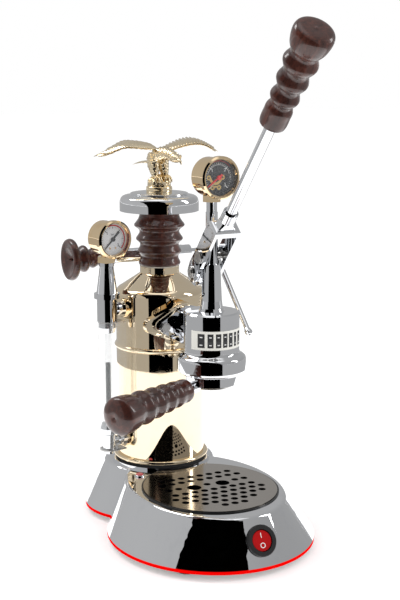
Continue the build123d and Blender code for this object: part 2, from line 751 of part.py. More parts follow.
def build_boiler():
    """Boiler shell, gasket, lock ring, heating element and thermostat."""
    inner = revolve(boiler_outline(boiler_wall), Axis.Z)
    shell = revolve(boiler_outline(0), Axis.Z)
    neck_length = gold_flange_reach - boiler_radius / 2
    shell += facing_front(boiler_radius / 2, flange_level) * cylinder(flange_neck_radius, 0, neck_length)
    flange = extrude(flange_face(gold_flange_middle_radius, gold_flange_end_radius, gold_flange_end_side),
                     gold_flange_thickness)
    shell += facing_front(gold_flange_reach - gold_flange_thickness, flange_level) * flange
    for height in (sight_upper_height, sight_lower_height):
        pad_start = boiler_side(seat_top + height) - 3 * boiler_wall
        shell += sight_frame(pad_start, seat_top + height) * cylinder(sight_pad_radius, 0, sight_pad_reach - pad_start)
    valve_foot = Pos(0, -valve_reach) * cylinder(valve_stem_radius, flange_level, boiler_cone_top - neck_height / 2)
    shell += valve_foot
    shell -= inner
    shell -= cylinder(neck_bore, boiler_cone_top - overrun, boiler_top + overrun)
    for height in (sight_upper_height, sight_lower_height):
        bore_start = boiler_side(seat_top + height) - overrun - boiler_wall
        shell -= sight_frame(0, seat_top + height) * cylinder(sight_stub_radius + slip_fit, bore_start, sight_reach)
    shell -= facing_front(0, flange_level) * cylinder(water_bore, boiler_radius / 2, group_reach)
    for side in (-1, 1):
        shell -= facing_front(0, flange_level) * Pos(side * flange_bolt_side, 0) * cylinder(
            flange_bolt_radius + slip_fit, gold_flange_reach - gold_flange_thickness - overrun, group_reach)
    shell -= Pos(0, -valve_reach) * cylinder(water_bore, flange_level, boiler_top)
    skirt_foot = seat_top - boiler_skirt_drop
    ring_top = deck - shell_wall
    plate_top = skirt_foot + element_plate_thickness
    plate = cylinder(boiler_skirt_radius - boiler_wall - slip_fit, skirt_foot, plate_top)
    for side in (-1, 1):
        y = side * element_spacing / 2
        leg_top = plate_top + element_height - element_loop_radius
        left = (-element_loop_radius, y, plate_top)
        path = Polyline([left, (-element_loop_radius, y, leg_top)])
        path += ThreePointArc((-element_loop_radius, y, leg_top), (0, y, leg_top + element_loop_radius),
                              (element_loop_radius, y, leg_top))
        path += Polyline([(element_loop_radius, y, leg_top), (element_loop_radius, y, plate_top)])
        plate += sweep(Pos(left) * Circle(element_tube_radius), path=path)
    thermostat = extrude(Pos(thermostat_side, 0, skirt_foot) * Rectangle(thermostat_width, thermostat_depth),
                         -thermostat_height)
    return {
        "boiler_gasket": tube(flange_radius - flange_thickness / 2, boiler_skirt_radius + slip_fit, seat_top, gasket_top),
        "boiler_shell": shell,
        "boiler_lock_ring": tube(lock_ring_radius, boiler_skirt_radius + slip_fit, ring_top - lock_ring_height, ring_top),
        "heating_element": plate,
        "thermostat": thermostat,
    }


def guard_slab(half_width, level, height, leg):
    """Slab with the guard's outline: round on its outer side, with straight sides towards the boiler."""
    outline = Circle(half_width) + Pos(-leg / 2, 0) * Rectangle(leg, 2 * half_width)
    return Pos(sight_point.X, sight_point.Y, level) * Rot(0, 0, 180 + sight_turn) * extrude(outline, height)


def build_sight_glass():
    """Fittings, glass tube, nuts, guard and clips of the water gauge."""
    upper = seat_top + sight_upper_height
    lower = seat_top + sight_lower_height
    upper_foot = upper - upper_body_drop
    lower_top = lower + lower_body_rise
    ring_foot_level = upper + upper_body_rise
    ring_top_level = ring_foot_level + upper_ring_height
    cone_top = ring_top_level + upper_cone_height
    glass_top = upper_foot + glass_sink
    glass_foot = lower_top - glass_sink
    place = Pos(sight_point.X, sight_point.Y)
    upper_fitting = place * turned([
        (0, upper_foot), (upper_body_radius, upper_foot), (upper_body_radius, ring_foot_level),
        (upper_ring_radius, ring_foot_level), (upper_ring_radius, ring_top_level),
        (upper_cone_radius, ring_top_level), (upper_cone_top_radius, cone_top), (upper_collar_radius, cone_top),
        (upper_collar_radius, sight_top_level), (0, sight_top_level),
    ])
    upper_fitting += place * cylinder(spigot_radius, upper_foot - spigot_length, upper_foot)
    lower_fitting = place * cylinder(lower_body_radius, sight_foot_level, lower_top)
    lower_fitting += place * cylinder(spigot_radius, lower_top, lower_top + spigot_length)
    lower_fitting += place * cylinder(drain_radius, sight_foot_level - clip_thickness - drain_height, sight_foot_level)
    stub = turned([
        (0, boiler_radius - 2 * boiler_wall), (sight_stub_radius, boiler_radius - 2 * boiler_wall),
        (sight_stub_radius, sight_pad_reach), (sight_collar_radius, sight_pad_reach),
        (sight_collar_radius, sight_pad_reach + sight_collar_length),
        (sight_stub_radius, sight_pad_reach + sight_collar_length), (sight_stub_radius, sight_reach),
        (0, sight_reach),
    ])
    upper_fitting += sight_frame(0, upper) * stub
    lower_fitting += sight_frame(0, lower) * stub
    water_way = cylinder(gauge_bore, boiler_radius / 2, sight_reach)
    upper_fitting -= sight_frame(0, upper) * water_way
    lower_fitting -= sight_frame(0, lower) * water_way
    upper_fitting -= place * cylinder(glass_radius + slip_fit, upper_foot - spigot_length - overrun, glass_top)
    upper_fitting -= place * cylinder(gauge_bore, upper_foot, sight_top_level + overrun)
    lower_fitting -= place * cylinder(glass_radius + slip_fit, glass_foot, lower_top + spigot_length + overrun)
    lower_fitting -= place * cylinder(gauge_bore, lower, lower_top)
    upper_nut_top = upper_foot - clip_thickness
    nut = turned([
        (sight_nut_end_radius, 0), (sight_nut_radius, sight_nut_length / 2), (sight_nut_radius, sight_nut_length),
        (spigot_radius + slip_fit, sight_nut_length),
        (spigot_radius + slip_fit, sight_nut_length - spigot_length + clip_thickness - slip_fit),
        (glass_radius + slip_fit, sight_nut_length - spigot_length + clip_thickness - slip_fit),
        (glass_radius + slip_fit, 0),
    ])
    nuts = place * Pos(0, 0, upper_nut_top - sight_nut_length) * nut
    nuts += place * Pos(0, 0, lower_top + clip_thickness + sight_nut_length) * Rot(180, 0, 0) * nut
    guard_foot = sight_foot_level - clip_thickness
    guard_height = upper_foot - guard_foot
    guard = guard_slab(guard_radius, guard_foot, guard_height, guard_leg)
    guard -= guard_slab(guard_radius - guard_wall, guard_foot - overrun, guard_height + 2 * overrun,
                        guard_leg + overrun)
    clip_half_width = guard_radius - guard_wall - slip_fit
    clips = Part()
    for level, bore in ((upper_nut_top, spigot_radius), (guard_foot, drain_radius)):
        clip = guard_slab(clip_half_width, level, clip_thickness, guard_leg)
        clips += clip - place * cylinder(bore + slip_fit, level - overrun, level + overrun)
    return {
        "sight_fittings": upper_fitting + lower_fitting,
        "sight_glass_tube": place * tube(glass_radius, glass_radius - glass_wall, glass_foot, glass_top),
        "sight_nuts": nuts,
        "glass_guard": guard,
        "guard_clips": clips,
    }


def gauge_frame(point, turn):
    """Frame of a gauge's face: X to its right, Y up, Z out of the dial."""
    facing = Vector(sin(radians(turn)), -cos(radians(turn)), 0)
    return Plane(origin=point, x_dir=Vector(cos(radians(turn)), sin(radians(turn)), 0), z_dir=facing)


def build_gauge(prefix, point, face_turn, bezel_radius, rise, needle_turn, needle_tail):
    """Pressure gauge whose case stands on a hexagonal stem, with its dial, window and needle."""
    frame = gauge_frame(point, face_turn)
    case_radius = bezel_radius - gauge_bezel_lip
    window_radius = bezel_radius - gauge_window_margin
    dial_radius = bezel_radius - gauge_dial_margin
    needle_length = dial_radius - gauge_needle_margin
    ledge = gauge_front - gauge_window_sink
    dial_back = gauge_front - gauge_dial_sink
    dial_front = dial_back + gauge_dial_thickness
    bezel_back = gauge_front - gauge_bezel_depth
    case = turned([
        (0, -gauge_case_back), (case_radius, -gauge_case_back), (case_radius, bezel_back),
        (bezel_radius, bezel_back), (bezel_radius, gauge_front - gauge_wall),
        (bezel_radius - gauge_wall, gauge_front), (window_radius, gauge_front),
        (window_radius, ledge), (dial_radius, ledge), (dial_radius, dial_back),
        (dial_radius - gauge_wall, dial_back), (dial_radius - gauge_wall, gauge_wall - gauge_case_back),
        (0, gauge_wall - gauge_case_back),
    ])
    stem_foot = point.Z - rise
    hexagon = RegularPolygon(gauge_hex_radius, 6, major_radius=False)
    stem = extrude(Pos(0, 0, stem_foot) * hexagon, gauge_hex_height)
    stem += cylinder(gauge_stem_radius, stem_foot, point.Z - case_radius + gauge_wall)
    stem = Pos(point.X, point.Y) * stem
    stem -= frame * cylinder(case_radius - gauge_wall / 2, -gauge_case_back, gauge_front)
    stem -= Pos(point.X, point.Y) * cylinder(gauge_bore, stem_foot - overrun, point.Z - case_radius + overrun)
    dial = cylinder(dial_radius - slip_fit, dial_back, dial_front)
    dial -= cylinder(gauge_pin_radius + running_fit, dial_back - overrun, dial_front + overrun)
    window = cylinder(window_radius - slip_fit, ledge, ledge + gauge_window_thickness)
    hub_foot = dial_front + moving_gap
    needle = cylinder(gauge_hub_radius, hub_foot, hub_foot + gauge_hub_height)
    needle += cylinder(gauge_pin_radius, dial_back, hub_foot)
    blade = make_face(Polyline([
        (-needle_tail, -gauge_needle_half_width), (-needle_tail, gauge_needle_half_width),
        (needle_length, gauge_needle_half_width / 3), (needle_length, -gauge_needle_half_width / 3),
    ], close=True))
    needle += Rot(0, 0, needle_turn) * extrude(Pos(0, 0, hub_foot) * blade, gauge_needle_thickness)
    return {
        prefix + "_gauge_case": frame * case + stem,
        prefix + "_gauge_dial": frame * dial,
        prefix + "_gauge_window": frame * window,
        prefix + "_gauge_needle": frame * needle,
    }


def build_steam_valve():
    """Cross valve behind the boiler's neck, with its spindle, knob, safety valve and swinging wand."""
    y = -valve_reach
    body = rod_along_x(valve_radius, -valve_left, valve_right, y, valve_level)
    body += rod_along_x(packing_nut_radius, -valve_left - packing_nut_length, -valve_left, y, valve_level)
    body += Pos(0, y) * cylinder(valve_stem_radius, boiler_cone_top - neck_height / 2, valve_level)
    body -= rod_along_x(spindle_radius + running_fit, -valve_left - packing_nut_length - overrun,
                        -spindle_inner_length + overrun, y, valve_level)
    body -= Pos(0, y) * cylinder(water_bore, flange_level, valve_level)
    body -= rod_along_x(water_bore, -spindle_inner_length, valve_right + overrun, y, valve_level)
    body -= rod_along_x(wand_stub_radius + running_fit, valve_right - wand_nut_length,
                        valve_right + overrun, y, valve_level)
    spindle_end = -valve_left - packing_nut_length - knob_gap - knob_sink
    spindle = rod_along_x(spindle_radius, spindle_end, -spindle_inner_length, y, valve_level)
    knob_foot = -valve_left - packing_nut_length - knob_gap
    knob = turned_smooth(knob_profile_shares, knob_radius, knob_length)
    knob -= cylinder(spindle_radius + running_fit, -overrun, knob_sink + moving_gap)
    knob = Pos(knob_foot, y, valve_level) * Rot(0, -90, 0) * knob
    nut = rod_along_x(wand_nut_radius, valve_right, valve_right + wand_nut_length, y, valve_level)
    nut -= rod_along_x(wand_stub_radius + running_fit, valve_right - overrun,
                       valve_right + wand_nut_length + overrun, y, valve_level)
    drop = radians(wand_drop_turn)
    tip = (wand_side, y - wand_length * cos(drop), valve_level - wand_length * sin(drop))
    start = (valve_right - wand_nut_length + moving_gap, y, valve_level)
    route = FilletPolyline([start, (wand_side, y, valve_level), tip], radius=wand_bend)
    wand = sweep(Plane(origin=start, z_dir=Vector(1, 0, 0)) * Circle(wand_tube_radius), path=route)
    wand += rod_along_x(wand_stub_radius, start[0], valve_right + wand_nut_length + moving_gap, y, valve_level)
    nozzle = turned([
        (0, 0), (wand_nozzle_radius * 0.6, 0), (wand_nozzle_radius, wand_nozzle_length / 4),
        (wand_nozzle_radius, wand_nozzle_length / 2), (wand_tube_radius, wand_nozzle_length), (0, wand_nozzle_length),
    ])
    nozzle_frame = Plane(origin=tip, x_dir=Vector(1, 0, 0), z_dir=Vector(0, cos(drop), sin(drop)))
    wand += nozzle_frame * nozzle
    wand -= nozzle_frame * cylinder(wand_bore, -overrun, wand_nozzle_length)
    safety = turned([
        (0, 0), (safety_radius, 0), (safety_radius, safety_height / 3), (safety_radius * 0.8, safety_height / 3),
        (safety_radius * 0.8, safety_height * 0.9), (safety_radius * 0.5, safety_height), (0, safety_height),
    ])
    flat = valve_radius - screw_radius / 2
    safety = Pos(safety_side, y, valve_level + flat) * safety
    body -= Pos(safety_side, y) * cylinder(safety_radius + slip_fit, valve_level + flat, valve_level + 2 * valve_radius)
    return {
        "steam_valve_body": body,
        "safety_valve": safety,
        "steam_spindle": spindle,
        "steam_knob": knob,
        "wand_nut": nut,
        "steam_wand": wand,
    }


def build_cap():
    """Threaded plug with its seal, the turned wood and the chrome disc."""
    seal_top = boiler_top + seal_thickness
    seal = tube(seal_radius, neck_bore + moving_gap, boiler_top, seal_top)
    plug = cylinder(neck_bore - running_fit, boiler_top - plug_depth, seal_top)
    stud_top = disc_foot + disc_height / 2
    plug += cylinder(plug_stud_radius, seal_top, stud_top)
    wood = Pos(0, 0, seal_top) * turned_smooth(wood_profile_shares, wood_radius, wood_height)
    wood -= cylinder(plug_stud_radius + slip_fit, seal_top - overrun, disc_foot + overrun)
    rim_top = disc_foot + disc_rim_height
    dome = Spline([(disc_radius, 0, rim_top),
                   ((2 * disc_radius + disc_rounding_radius) / 3, 0, (rim_top + 2 * disc_top) / 3),
                   (disc_rounding_radius, 0, disc_top - disc_wall), (rock_radius, 0, disc_top)],
                  tangents=[(0, 0, 1), (-1, 0, 0)])
    sides = Polyline([(rock_radius, 0, disc_top), (0, 0, disc_top), (0, 0, disc_foot), (disc_radius, 0, disc_foot),
                      (disc_radius, 0, rim_top)])
    disc = revolve(make_face([dome, sides]), Axis.Z)
    disc -= tube(disc_radius - disc_wall, disc_boss_radius, disc_foot - overrun, disc_foot + disc_recess_depth)
    disc -= cylinder(plug_stud_radius + slip_fit, disc_foot - overrun, stud_top)
    return {"cap_seal": seal, "cap_plug": plug, "cap_wood": wood, "cap_disc": disc}


def oval_section(place, half_width, half_height):
    """Upright oval across the eagle's length, facing the front."""
    frame = Plane(origin=place, x_dir=Vector(1, 0, 0), z_dir=Vector(0, -1, 0))
    return frame * scale(Circle(1), by=(half_width, half_height, 1))


def build_eagle():
    """Spread-wing eagle standing on a rock."""
    middle = disc_top + perch_height
    rock_top = disc_top + rock_height
    head_level = middle + eagle_head_rise
    rock = turned([
        (0, disc_top), (rock_radius, disc_top), (rock_radius, disc_top + rock_height / 3),
        (rock_radius * 0.8, rock_top - rock_height / 4), (rock_radius * 0.62, rock_top), (0, rock_top),
    ])
    legs = cylinder(rock_radius * 0.42, rock_top - rock_height / 2, middle)
    body_shares = [(0.62, -0.45, 0.35), (0.40, -0.32, 0.72), (0.0, -0.10, 1.0), (-0.45, 0.05, 0.86), (-0.78, 0.42, 0.58),
                   (-1.0, 0.80, 0.50)]
    sections = [oval_section((0, share * eagle_head_reach, middle + rise * eagle_head_rise),
                             width * eagle_body_radius, width * eagle_body_radius)
                for share, rise, width in body_shares]
    body = loft(sections)
    head = Pos(0, -eagle_head_reach, head_level - eagle_head_radius / 4) * Sphere(eagle_head_radius)
    beak_level = head_level - eagle_beak_drop
    beak = loft([
        oval_section((0, -eagle_head_reach, beak_level), eagle_beak_radius * 1.3, eagle_beak_radius * 1.4),
        oval_section((0, -(eagle_head_reach + eagle_beak_reach) / 2, beak_level), eagle_beak_radius, eagle_beak_radius),
        oval_section((0, -eagle_beak_reach, beak_level - eagle_beak_radius), eagle_beak_radius / 5,
                     eagle_beak_radius / 3),
    ])
    tail = loft([
        oval_section((0, eagle_head_reach * 0.45, middle - eagle_head_rise * 0.3), eagle_tail_half_width / 2,
                     eagle_tail_thickness),
        oval_section((0, eagle_head_reach * 0.8, middle - eagle_tail_drop), eagle_tail_half_width * 0.8,
                     eagle_tail_thickness * 0.7),
        oval_section((0, eagle_tail_reach, middle - eagle_tail_drop * 1.6), eagle_tail_half_width,
                     eagle_tail_thickness / 3),
    ])
    figure = rock + legs + body + head + beak + tail
    stations = [
        (wing_root_side / 2, 0, 0, wing_root_chord, wing_thickness),
        (wing_root_side * 2, 0, wing_root_rise * 2.2, wing_root_chord, wing_thickness),
        (wing_ridge_side, 0, wing_ridge_rise - wing_thickness, wing_ridge_chord, wing_thickness * 0.8),
        ((wing_ridge_side + wing_span) / 2, wing_tip_back / 2, wing_ridge_rise * 0.78, wing_ridge_chord * 0.7,
         wing_thickness * 0.6),
        (wing_span, wing_tip_back, wing_tip_rise, wing_tip_chord, wing_thickness * 0.35),
    ]
    for side in (-1, 1):
        sections = [Plane(origin=(side * x, back, middle + rise), x_dir=Vector(0, 1, 0), z_dir=Vector(side, 0, 0))
                    * scale(Circle(1), by=(chord / 2, thickness / 2, 1))
                    for x, back, rise, chord, thickness in stations]
        figure += loft(sections)
    return {"eagle_figure": figure}


def build_group():
    """Group body with its flange, bayonet, column and lug, and everything fixed in it."""
    place = Pos(0, -group_reach)
    foot = bell_foot_height
    bell_top = foot + bell_height
    waist = foot + waist_height
    top = column_foot
    edges = [
        Polyline([(0, 0, foot), (bell_foot_radius, 0, foot)]),
        ThreePointArc((bell_foot_radius, 0, foot), (bell_radius - bell_rounding * 0.3, 0, foot + bell_rounding * 0.3),
                      (bell_radius, 0, foot + bell_rounding)),
        Polyline([(bell_radius, 0, foot + bell_rounding), (bell_radius, 0, bell_top)]),
        Spline([(bell_radius, 0, bell_top), ((bell_radius + cylinder_radius) / 2, 0, (bell_top + waist) / 2),
                (cylinder_radius, 0, waist)], tangents=[(0, 0, 1), (0, 0, 1)]),
        Polyline([(cylinder_radius, 0, waist), (cylinder_radius, 0, top - cylinder_rounding),
                  (cylinder_radius - cylinder_rounding, 0, top), (column_foot_radius, 0, top),
                  (column_low_radius, 0, top + column_foot_height),
                  (column_waist_radius, 0, top + column_waist_height), (column_top_radius, 0, column_top),
                  (0, 0, column_top), (0, 0, foot)]),
    ]
    body = place * revolve(make_face(edges), Axis.Z)
    flange = extrude(flange_face(group_flange_middle_radius, group_flange_end_radius, flange_bolt_side),
                     group_flange_thickness)
    body += facing_front(group_flange_back, flange_level) * flange
    body += facing_front(group_flange_back, flange_level) * cylinder(group_neck_radius, 0,
                                                                     group_reach - group_flange_back)
    lug = hull_of_circles([(0, 0, lug_radius), (lug_arm_offset, lug_arm_length, lug_arm_radius)])
    lug_plane = Plane(origin=fulcrum_point, x_dir=Vector(0, sin(radians(lever_rise)), cos(radians(lever_rise))),
                      z_dir=Vector(1, 0, 0))
    body += lug_plane * Pos(0, 0, -lug_half_width) * extrude(lug, 2 * lug_half_width)
    roof = top - cylinder_roof_thickness
    floor = foot + cylinder_floor
    seal_level = floor - group_seal_thickness
    chamber_foot = foot + bayonet_lip_thickness
    body -= place * cylinder(sleeve_bore + sleeve_wall + slip_fit, floor + cylinder_floor_thickness, roof)
    body -= place * cylinder(cylinder_floor_bore, floor - overrun, roof)
    body -= place * cylinder(seal_outer_radius + slip_fit, chamber_foot, floor)
    body -= place * cylinder(bayonet_chamber_radius, chamber_foot, chamber_foot + bayonet_chamber_height)
    body -= place * cylinder(bayonet_bore, foot - overrun, chamber_foot + overrun)
    gap_sector = ear_sector(ear_radius + moving_gap, ear_gap_half_turn, foot - overrun,
                            bayonet_lip_thickness + 2 * overrun)
    for turn in (0, 180):
        body -= place * Rot(0, 0, handle_turn + entry_turn + turn) * gap_sector
    body -= place * cylinder(rod_radius + running_fit, roof - overrun, column_top + column_height)
    slot_half = roller_pin_radius + moving_gap
    slot_foot = column_foot + column_slot_start
    slot_box = Box(4 * arm_outer, 2 * slot_half, 2 * column_height, align=(Align.CENTER, Align.CENTER, Align.MIN))
    slot_end = place * Pos(0, 0, slot_foot) * Rot(0, 90, 0) * Cylinder(slot_half, 4 * arm_outer)
    body -= place * Pos(0, 0, slot_foot) * slot_box
    body -= slot_end
    body -= rod_along_x(fulcrum_pin_radius, -2 * arm_outer, 2 * arm_outer, fulcrum_point.Y, fulcrum_level)
    body -= facing_front(0, flange_level) * cylinder(water_bore, boiler_radius, group_reach - cylinder_floor_bore)
    for side in (-1, 1):
        body -= facing_front(0, flange_level) * Pos(side * flange_bolt_side, 0) * cylinder(
            flange_bolt_radius + slip_fit, boiler_radius, group_flange_front + overrun)
    bolts = Part()
    bolt_back = gold_flange_reach - gold_flange_thickness
    for side in (-1, 1):
        bolt = cylinder(flange_bolt_radius, bolt_back, group_flange_front + flange_bolt_head_height)
        head = extrude(Pos(0, 0, group_flange_front) * RegularPolygon(flange_bolt_head_radius, 6),
                       flange_bolt_head_height)
        bolts += facing_front(0, flange_level) * Pos(side * flange_bolt_side, 0) * (bolt + head)
    gasket = extrude(flange_face(group_flange_middle_radius, group_flange_end_radius, flange_bolt_side),
                     group_gasket_thickness)
    gasket -= cylinder(water_bore, -overrun, overrun)
    for side in (-1, 1):
        gasket -= Pos(side * flange_bolt_side, 0) * cylinder(flange_bolt_radius + slip_fit, -overrun, overrun)
    sleeve = place * tube(sleeve_bore + sleeve_wall, sleeve_bore, floor + cylinder_floor_thickness, roof)
    sleeve -= facing_front(0, flange_level) * cylinder(water_bore, boiler_radius, group_reach)
    seal = place * tube(seal_outer_radius, seal_inner_radius, seal_level, floor)
    screen = cylinder(screen_radius, floor - screen_drop - screen_thickness, floor)
    screen -= cylinder(screen_radius - screen_thickness, floor - screen_drop, floor + overrun)
    holes = Circle(screen_hole_radius)
    for ring in range(1, screen_hole_rings + 1):
        reach = ring * screen_radius * 0.25
        for index in range(6 * ring):
            turn = radians(60 * index / ring)
            holes += Pos(reach * cos(turn), reach * sin(turn)) * Circle(screen_hole_radius)
    screen -= extrude(Pos(0, 0, floor - screen_drop - overrun) * holes, 2 * overrun)
    strip_foot_level = foot + strip_foot
    strip = tube(cylinder_radius + slip_fit + strip_thickness, cylinder_radius + slip_fit, strip_foot_level,
                 strip_foot_level + strip_height)
    strip &= sector(2 * cylinder_radius, strip_start_turn, strip_end_turn, strip_foot_level, strip_height)
    pin = rod_along_x(fulcrum_pin_radius, -arm_outer - moving_gap - 2 * clip_ring_thickness,
                      arm_outer + moving_gap + 2 * clip_ring_thickness, fulcrum_point.Y, fulcrum_level)
    for side in (-1, 1):
        near = side * (arm_outer + moving_gap)
        far = side * (arm_outer + moving_gap + clip_ring_thickness)
        pin += rod_along_x(fulcrum_clip_radius, min(near, far), max(near, far), fulcrum_point.Y, fulcrum_level)
    return {
        "group_body": body,
        "group_flange_bolts": bolts,
        "group_flange_gasket": facing_front(gold_flange_reach, flange_level) * gasket,
        "cylinder_sleeve": sleeve,
        "group_seal": seal,
        "shower_screen": place * screen,
        "temperature_strip": place * strip,
        "fulcrum_pin": pin,
    }


def sector(radius, start_turn, end_turn, level, height):
    """Wedge of a disc about Z between two turns, counted from the front towards the user's left."""
    count = 6
    turns = [radians(start_turn + (end_turn - start_turn) * step / count) for step in range(count + 1)]
    points = [(0, 0)] + [(-radius * sin(turn), -radius * cos(turn)) for turn in turns]
    return extrude(Pos(0, 0, level) * make_face(Polyline(points, close=True)), height)


def ear_sector(radius, half_turn, level, height):
    """Wedge about the user's left, as wide as an ear of the bayonet or its gap."""
    wedge = sector(2 * radius, quarter_turn - half_turn, quarter_turn + half_turn, level, height)
    return wedge & cylinder(radius, level, level + height)


def build_piston():
    """Piston with its seals, the hollow rod and the roller pin across it."""
    place = Pos(0, -group_reach)
    top = bell_foot_height + piston_top
    foot = top - piston_height
    radius = sleeve_bore - moving_gap
    piston = cylinder(radius, foot, top)
    seals = Part()
    for groove_foot in (foot + seal_groove_edge, top - seal_groove_edge - seal_groove_height):
        groove = tube(radius + overrun, radius - seal_groove_depth, groove_foot, groove_foot + seal_groove_height)
        piston -= groove
        seals += tube(sleeve_bore - running_fit, radius - seal_groove_depth, groove_foot,
                      groove_foot + seal_groove_height)
    piston -= cylinder(rod_spigot_radius, foot - overrun, top + overrun)
    rod = cylinder(rod_spigot_radius, foot, top)
    rod += cylinder(rod_radius, top, bell_foot_height + rod_shoulder)
    rod += cylinder(rod_top_radius, bell_foot_height + rod_shoulder, bell_foot_height + rod_top)
    rod -= cylinder(rod_bore, foot - overrun, bell_foot_height + rod_top + overrun)
    rod = place * rod - rod_along_x(roller_pin_radius, -2 * rod_radius, 2 * rod_radius, -group_reach, pin_level)
    reach = arm_outer + moving_gap
    pin = rod_along_x(roller_pin_radius, -reach, reach, -group_reach, pin_level)
    for start in (-reach - roller_head_thickness, reach):
        pin += rod_along_x(roller_head_radius, start, start + roller_head_thickness, -group_reach, pin_level)
    return {
        "piston": place * piston,
        "piston_seals": place * seals,
        "piston_rod": rod,
        "roller_pin": pin,
    }


def build_lever():
    """Fork, rod and turned handle, built along the lever's frame."""
    reach = arm_length + crossbar_length
    arms = Pos(0, arm_offset, reach / 2) * Box(2 * arm_outer, 2 * arm_half_depth, reach)
    arms += Pos(0, arm_offset) * Rot(0, 90, 0) * Cylinder(arm_half_depth, 2 * arm_outer)
    top_edges = arms.edges().group_by(Axis.Z)[-1]
    arms = fillet(top_edges, crossbar_rounding)
    shoulder = loft([
        Pos(0, arm_offset, reach - crossbar_rounding) * RectangleRounded(
            2 * (arm_outer - crossbar_rounding), 2 * (arm_half_depth - crossbar_rounding), crossbar_rounding),
        Pos(0, 0, socket_start) * RectangleRounded(
            2 * socket_radius, 2 * socket_radius, socket_radius - slip_fit),
    ])
    fork = arms + shoulder + cylinder(socket_radius, reach - crossbar_rounding, socket_end)
    gap = Pos(0, arm_offset, arm_length / 2 - arm_half_depth) * Box(
        2 * arm_inner, 4 * arm_half_depth, arm_length + 2 * arm_half_depth)
    fork -= gap
    fork -= cylinder(lever_rod_radius + slip_fit, socket_bore_start, socket_end + overrun)
    fork -= cylinder(socket_mouth_radius, socket_end - socket_mouth_depth, socket_end + overrun)
    fork -= Rot(0, 90, 0) * Cylinder(fulcrum_pin_radius + running_fit, 4 * arm_outer)
    slot_length = pin_slot_end - pin_slot_start
    slot = Box(4 * arm_outer, pin_slot_width, slot_length)
    for end in (-1, 1):
        slot += Pos(0, 0, end * slot_length / 2) * Rot(0, 90, 0) * Cylinder(pin_slot_width / 2, 4 * arm_outer)
    fork -= Rot(-pin_slot_turn, 0, 0) * Pos(0, 0, (pin_slot_start + pin_slot_end) / 2) * slot
    rod = cylinder(lever_rod_radius, socket_bore_start, lever_rod_end)
    handle = Pos(0, 0, handle_start) * turned_smooth(handle_profile_shares, handle_radius, handle_length)
    handle -= cylinder(lever_rod_radius + slip_fit, handle_start - overrun, lever_rod_end)
    return {
        "lever_fork": lever_frame * fork,
        "lever_rod": lever_frame * rod,
        "lever_handle": lever_frame * handle,
    }


def build_portafilter():
    """Bayonet ring with its neck, the filter basket and the turned handle."""
    foot = bell_foot_height + ring_foot
    top = bell_foot_height + ring_top
    body = tube(ring_radius, ring_bore, foot, top)
    ear_foot = bell_foot_height + bayonet_lip_thickness + moving_gap
    ears = ear_sector(ear_radius, ear_half_turn, ear_foot, ear_thickness)
    ears += Rot(0, 0, 180) * ears
    body += ears - cylinder(ring_bore + slip_fit, foot, top + overrun)
    body_to_handle = Pos(0, 0, bell_foot_height - handle_drop) * Rot(0, -quarter_turn - handle_droop, 0)
    neck = turned([
        (0, ring_bore), (ferrule_root_radius, ring_bore), (ferrule_root_radius, ring_radius),
        (ferrule_radius * 0.85, ring_radius + (ferrule_end - ring_radius) / 2), (ferrule_radius, ferrule_end),
        (0, ferrule_end),
    ])
    neck += cylinder(tang_radius, ferrule_start, ferrule_end + tang_length)
    body += body_to_handle * neck - cylinder(ring_bore, foot - 2 * overrun, top + overrun)
    grip = Pos(0, 0, ferrule_end) * turned_smooth(grip_profile_shares, grip_radius, grip_length)
    grip -= cylinder(tang_radius + slip_fit, ferrule_end - overrun, ferrule_end + tang_length)
    basket_top = top + basket_wall
    basket_level = bell_foot_height + basket_foot
    basket = turned([
        (0, basket_level), (basket_foot_radius, basket_level), (basket_radius, foot), (basket_radius, top),
        (basket_rim_radius, top), (basket_rim_radius, basket_top), (0, basket_top),
    ])
    basket -= turned([
        (0, basket_level + basket_wall), (basket_foot_radius - basket_wall / 2, basket_level + basket_wall),
        (basket_radius - basket_wall, foot + basket_wall / 2), (basket_radius - basket_wall, basket_top + overrun),
        (0, basket_top + overrun),
    ])
    place = Pos(0, -group_reach) * Rot(0, 0, handle_turn)
    return {
        "portafilter_body": place * body,
        "portafilter_handle": place * body_to_handle * grip,
        "filter_basket": place * basket,
    }


def build_all():
    """Every sub-part by its name."""
    parts = {}
    for section in (build_base(), build_inlet(), build_switch(), build_tray(), build_boiler(), build_sight_glass(),
                    build_gauge("boiler", boiler_gauge_point, boiler_gauge_turn, boiler_gauge_radius,
                                boiler_gauge_rise, boiler_needle_turn, boiler_needle_tail),
                    build_steam_valve(), build_cap(), build_eagle(), build_group(),
                    build_gauge("group", group_gauge_point, group_gauge_turn, group_gauge_radius, group_gauge_rise,
                                group_needle_turn, group_needle_tail),
                    build_piston(), build_lever(), build_portafilter()):
        parts.update(section)
    return parts


machine = build_all()
corners = [shape.bounding_box() for shape in machine.values()]
middle_shift = Vector(
    -(min(box.min.X for box in corners) + max(box.max.X for box in corners)) / 2,
    -(min(box.min.Y for box in corners) + max(box.max.Y for box in corners)) / 2,
    -min(box.min.Z for box in corners),
)
os.makedirs("parts", exist_ok=True)
for name, shape in machine.items():
    export_step(Pos(middle_shift) * shape, "parts/" + name + ".step")
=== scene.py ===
"""Looks of a lever espresso machine.

It gives the CAD pieces their finishes and adds the fine pieces that only the looks need. Everything is in
metres in the machine's own frame: +Z up, the lever and the drip tray to the front (-Y), +X to the user's
right, and the floor at zero.
"""

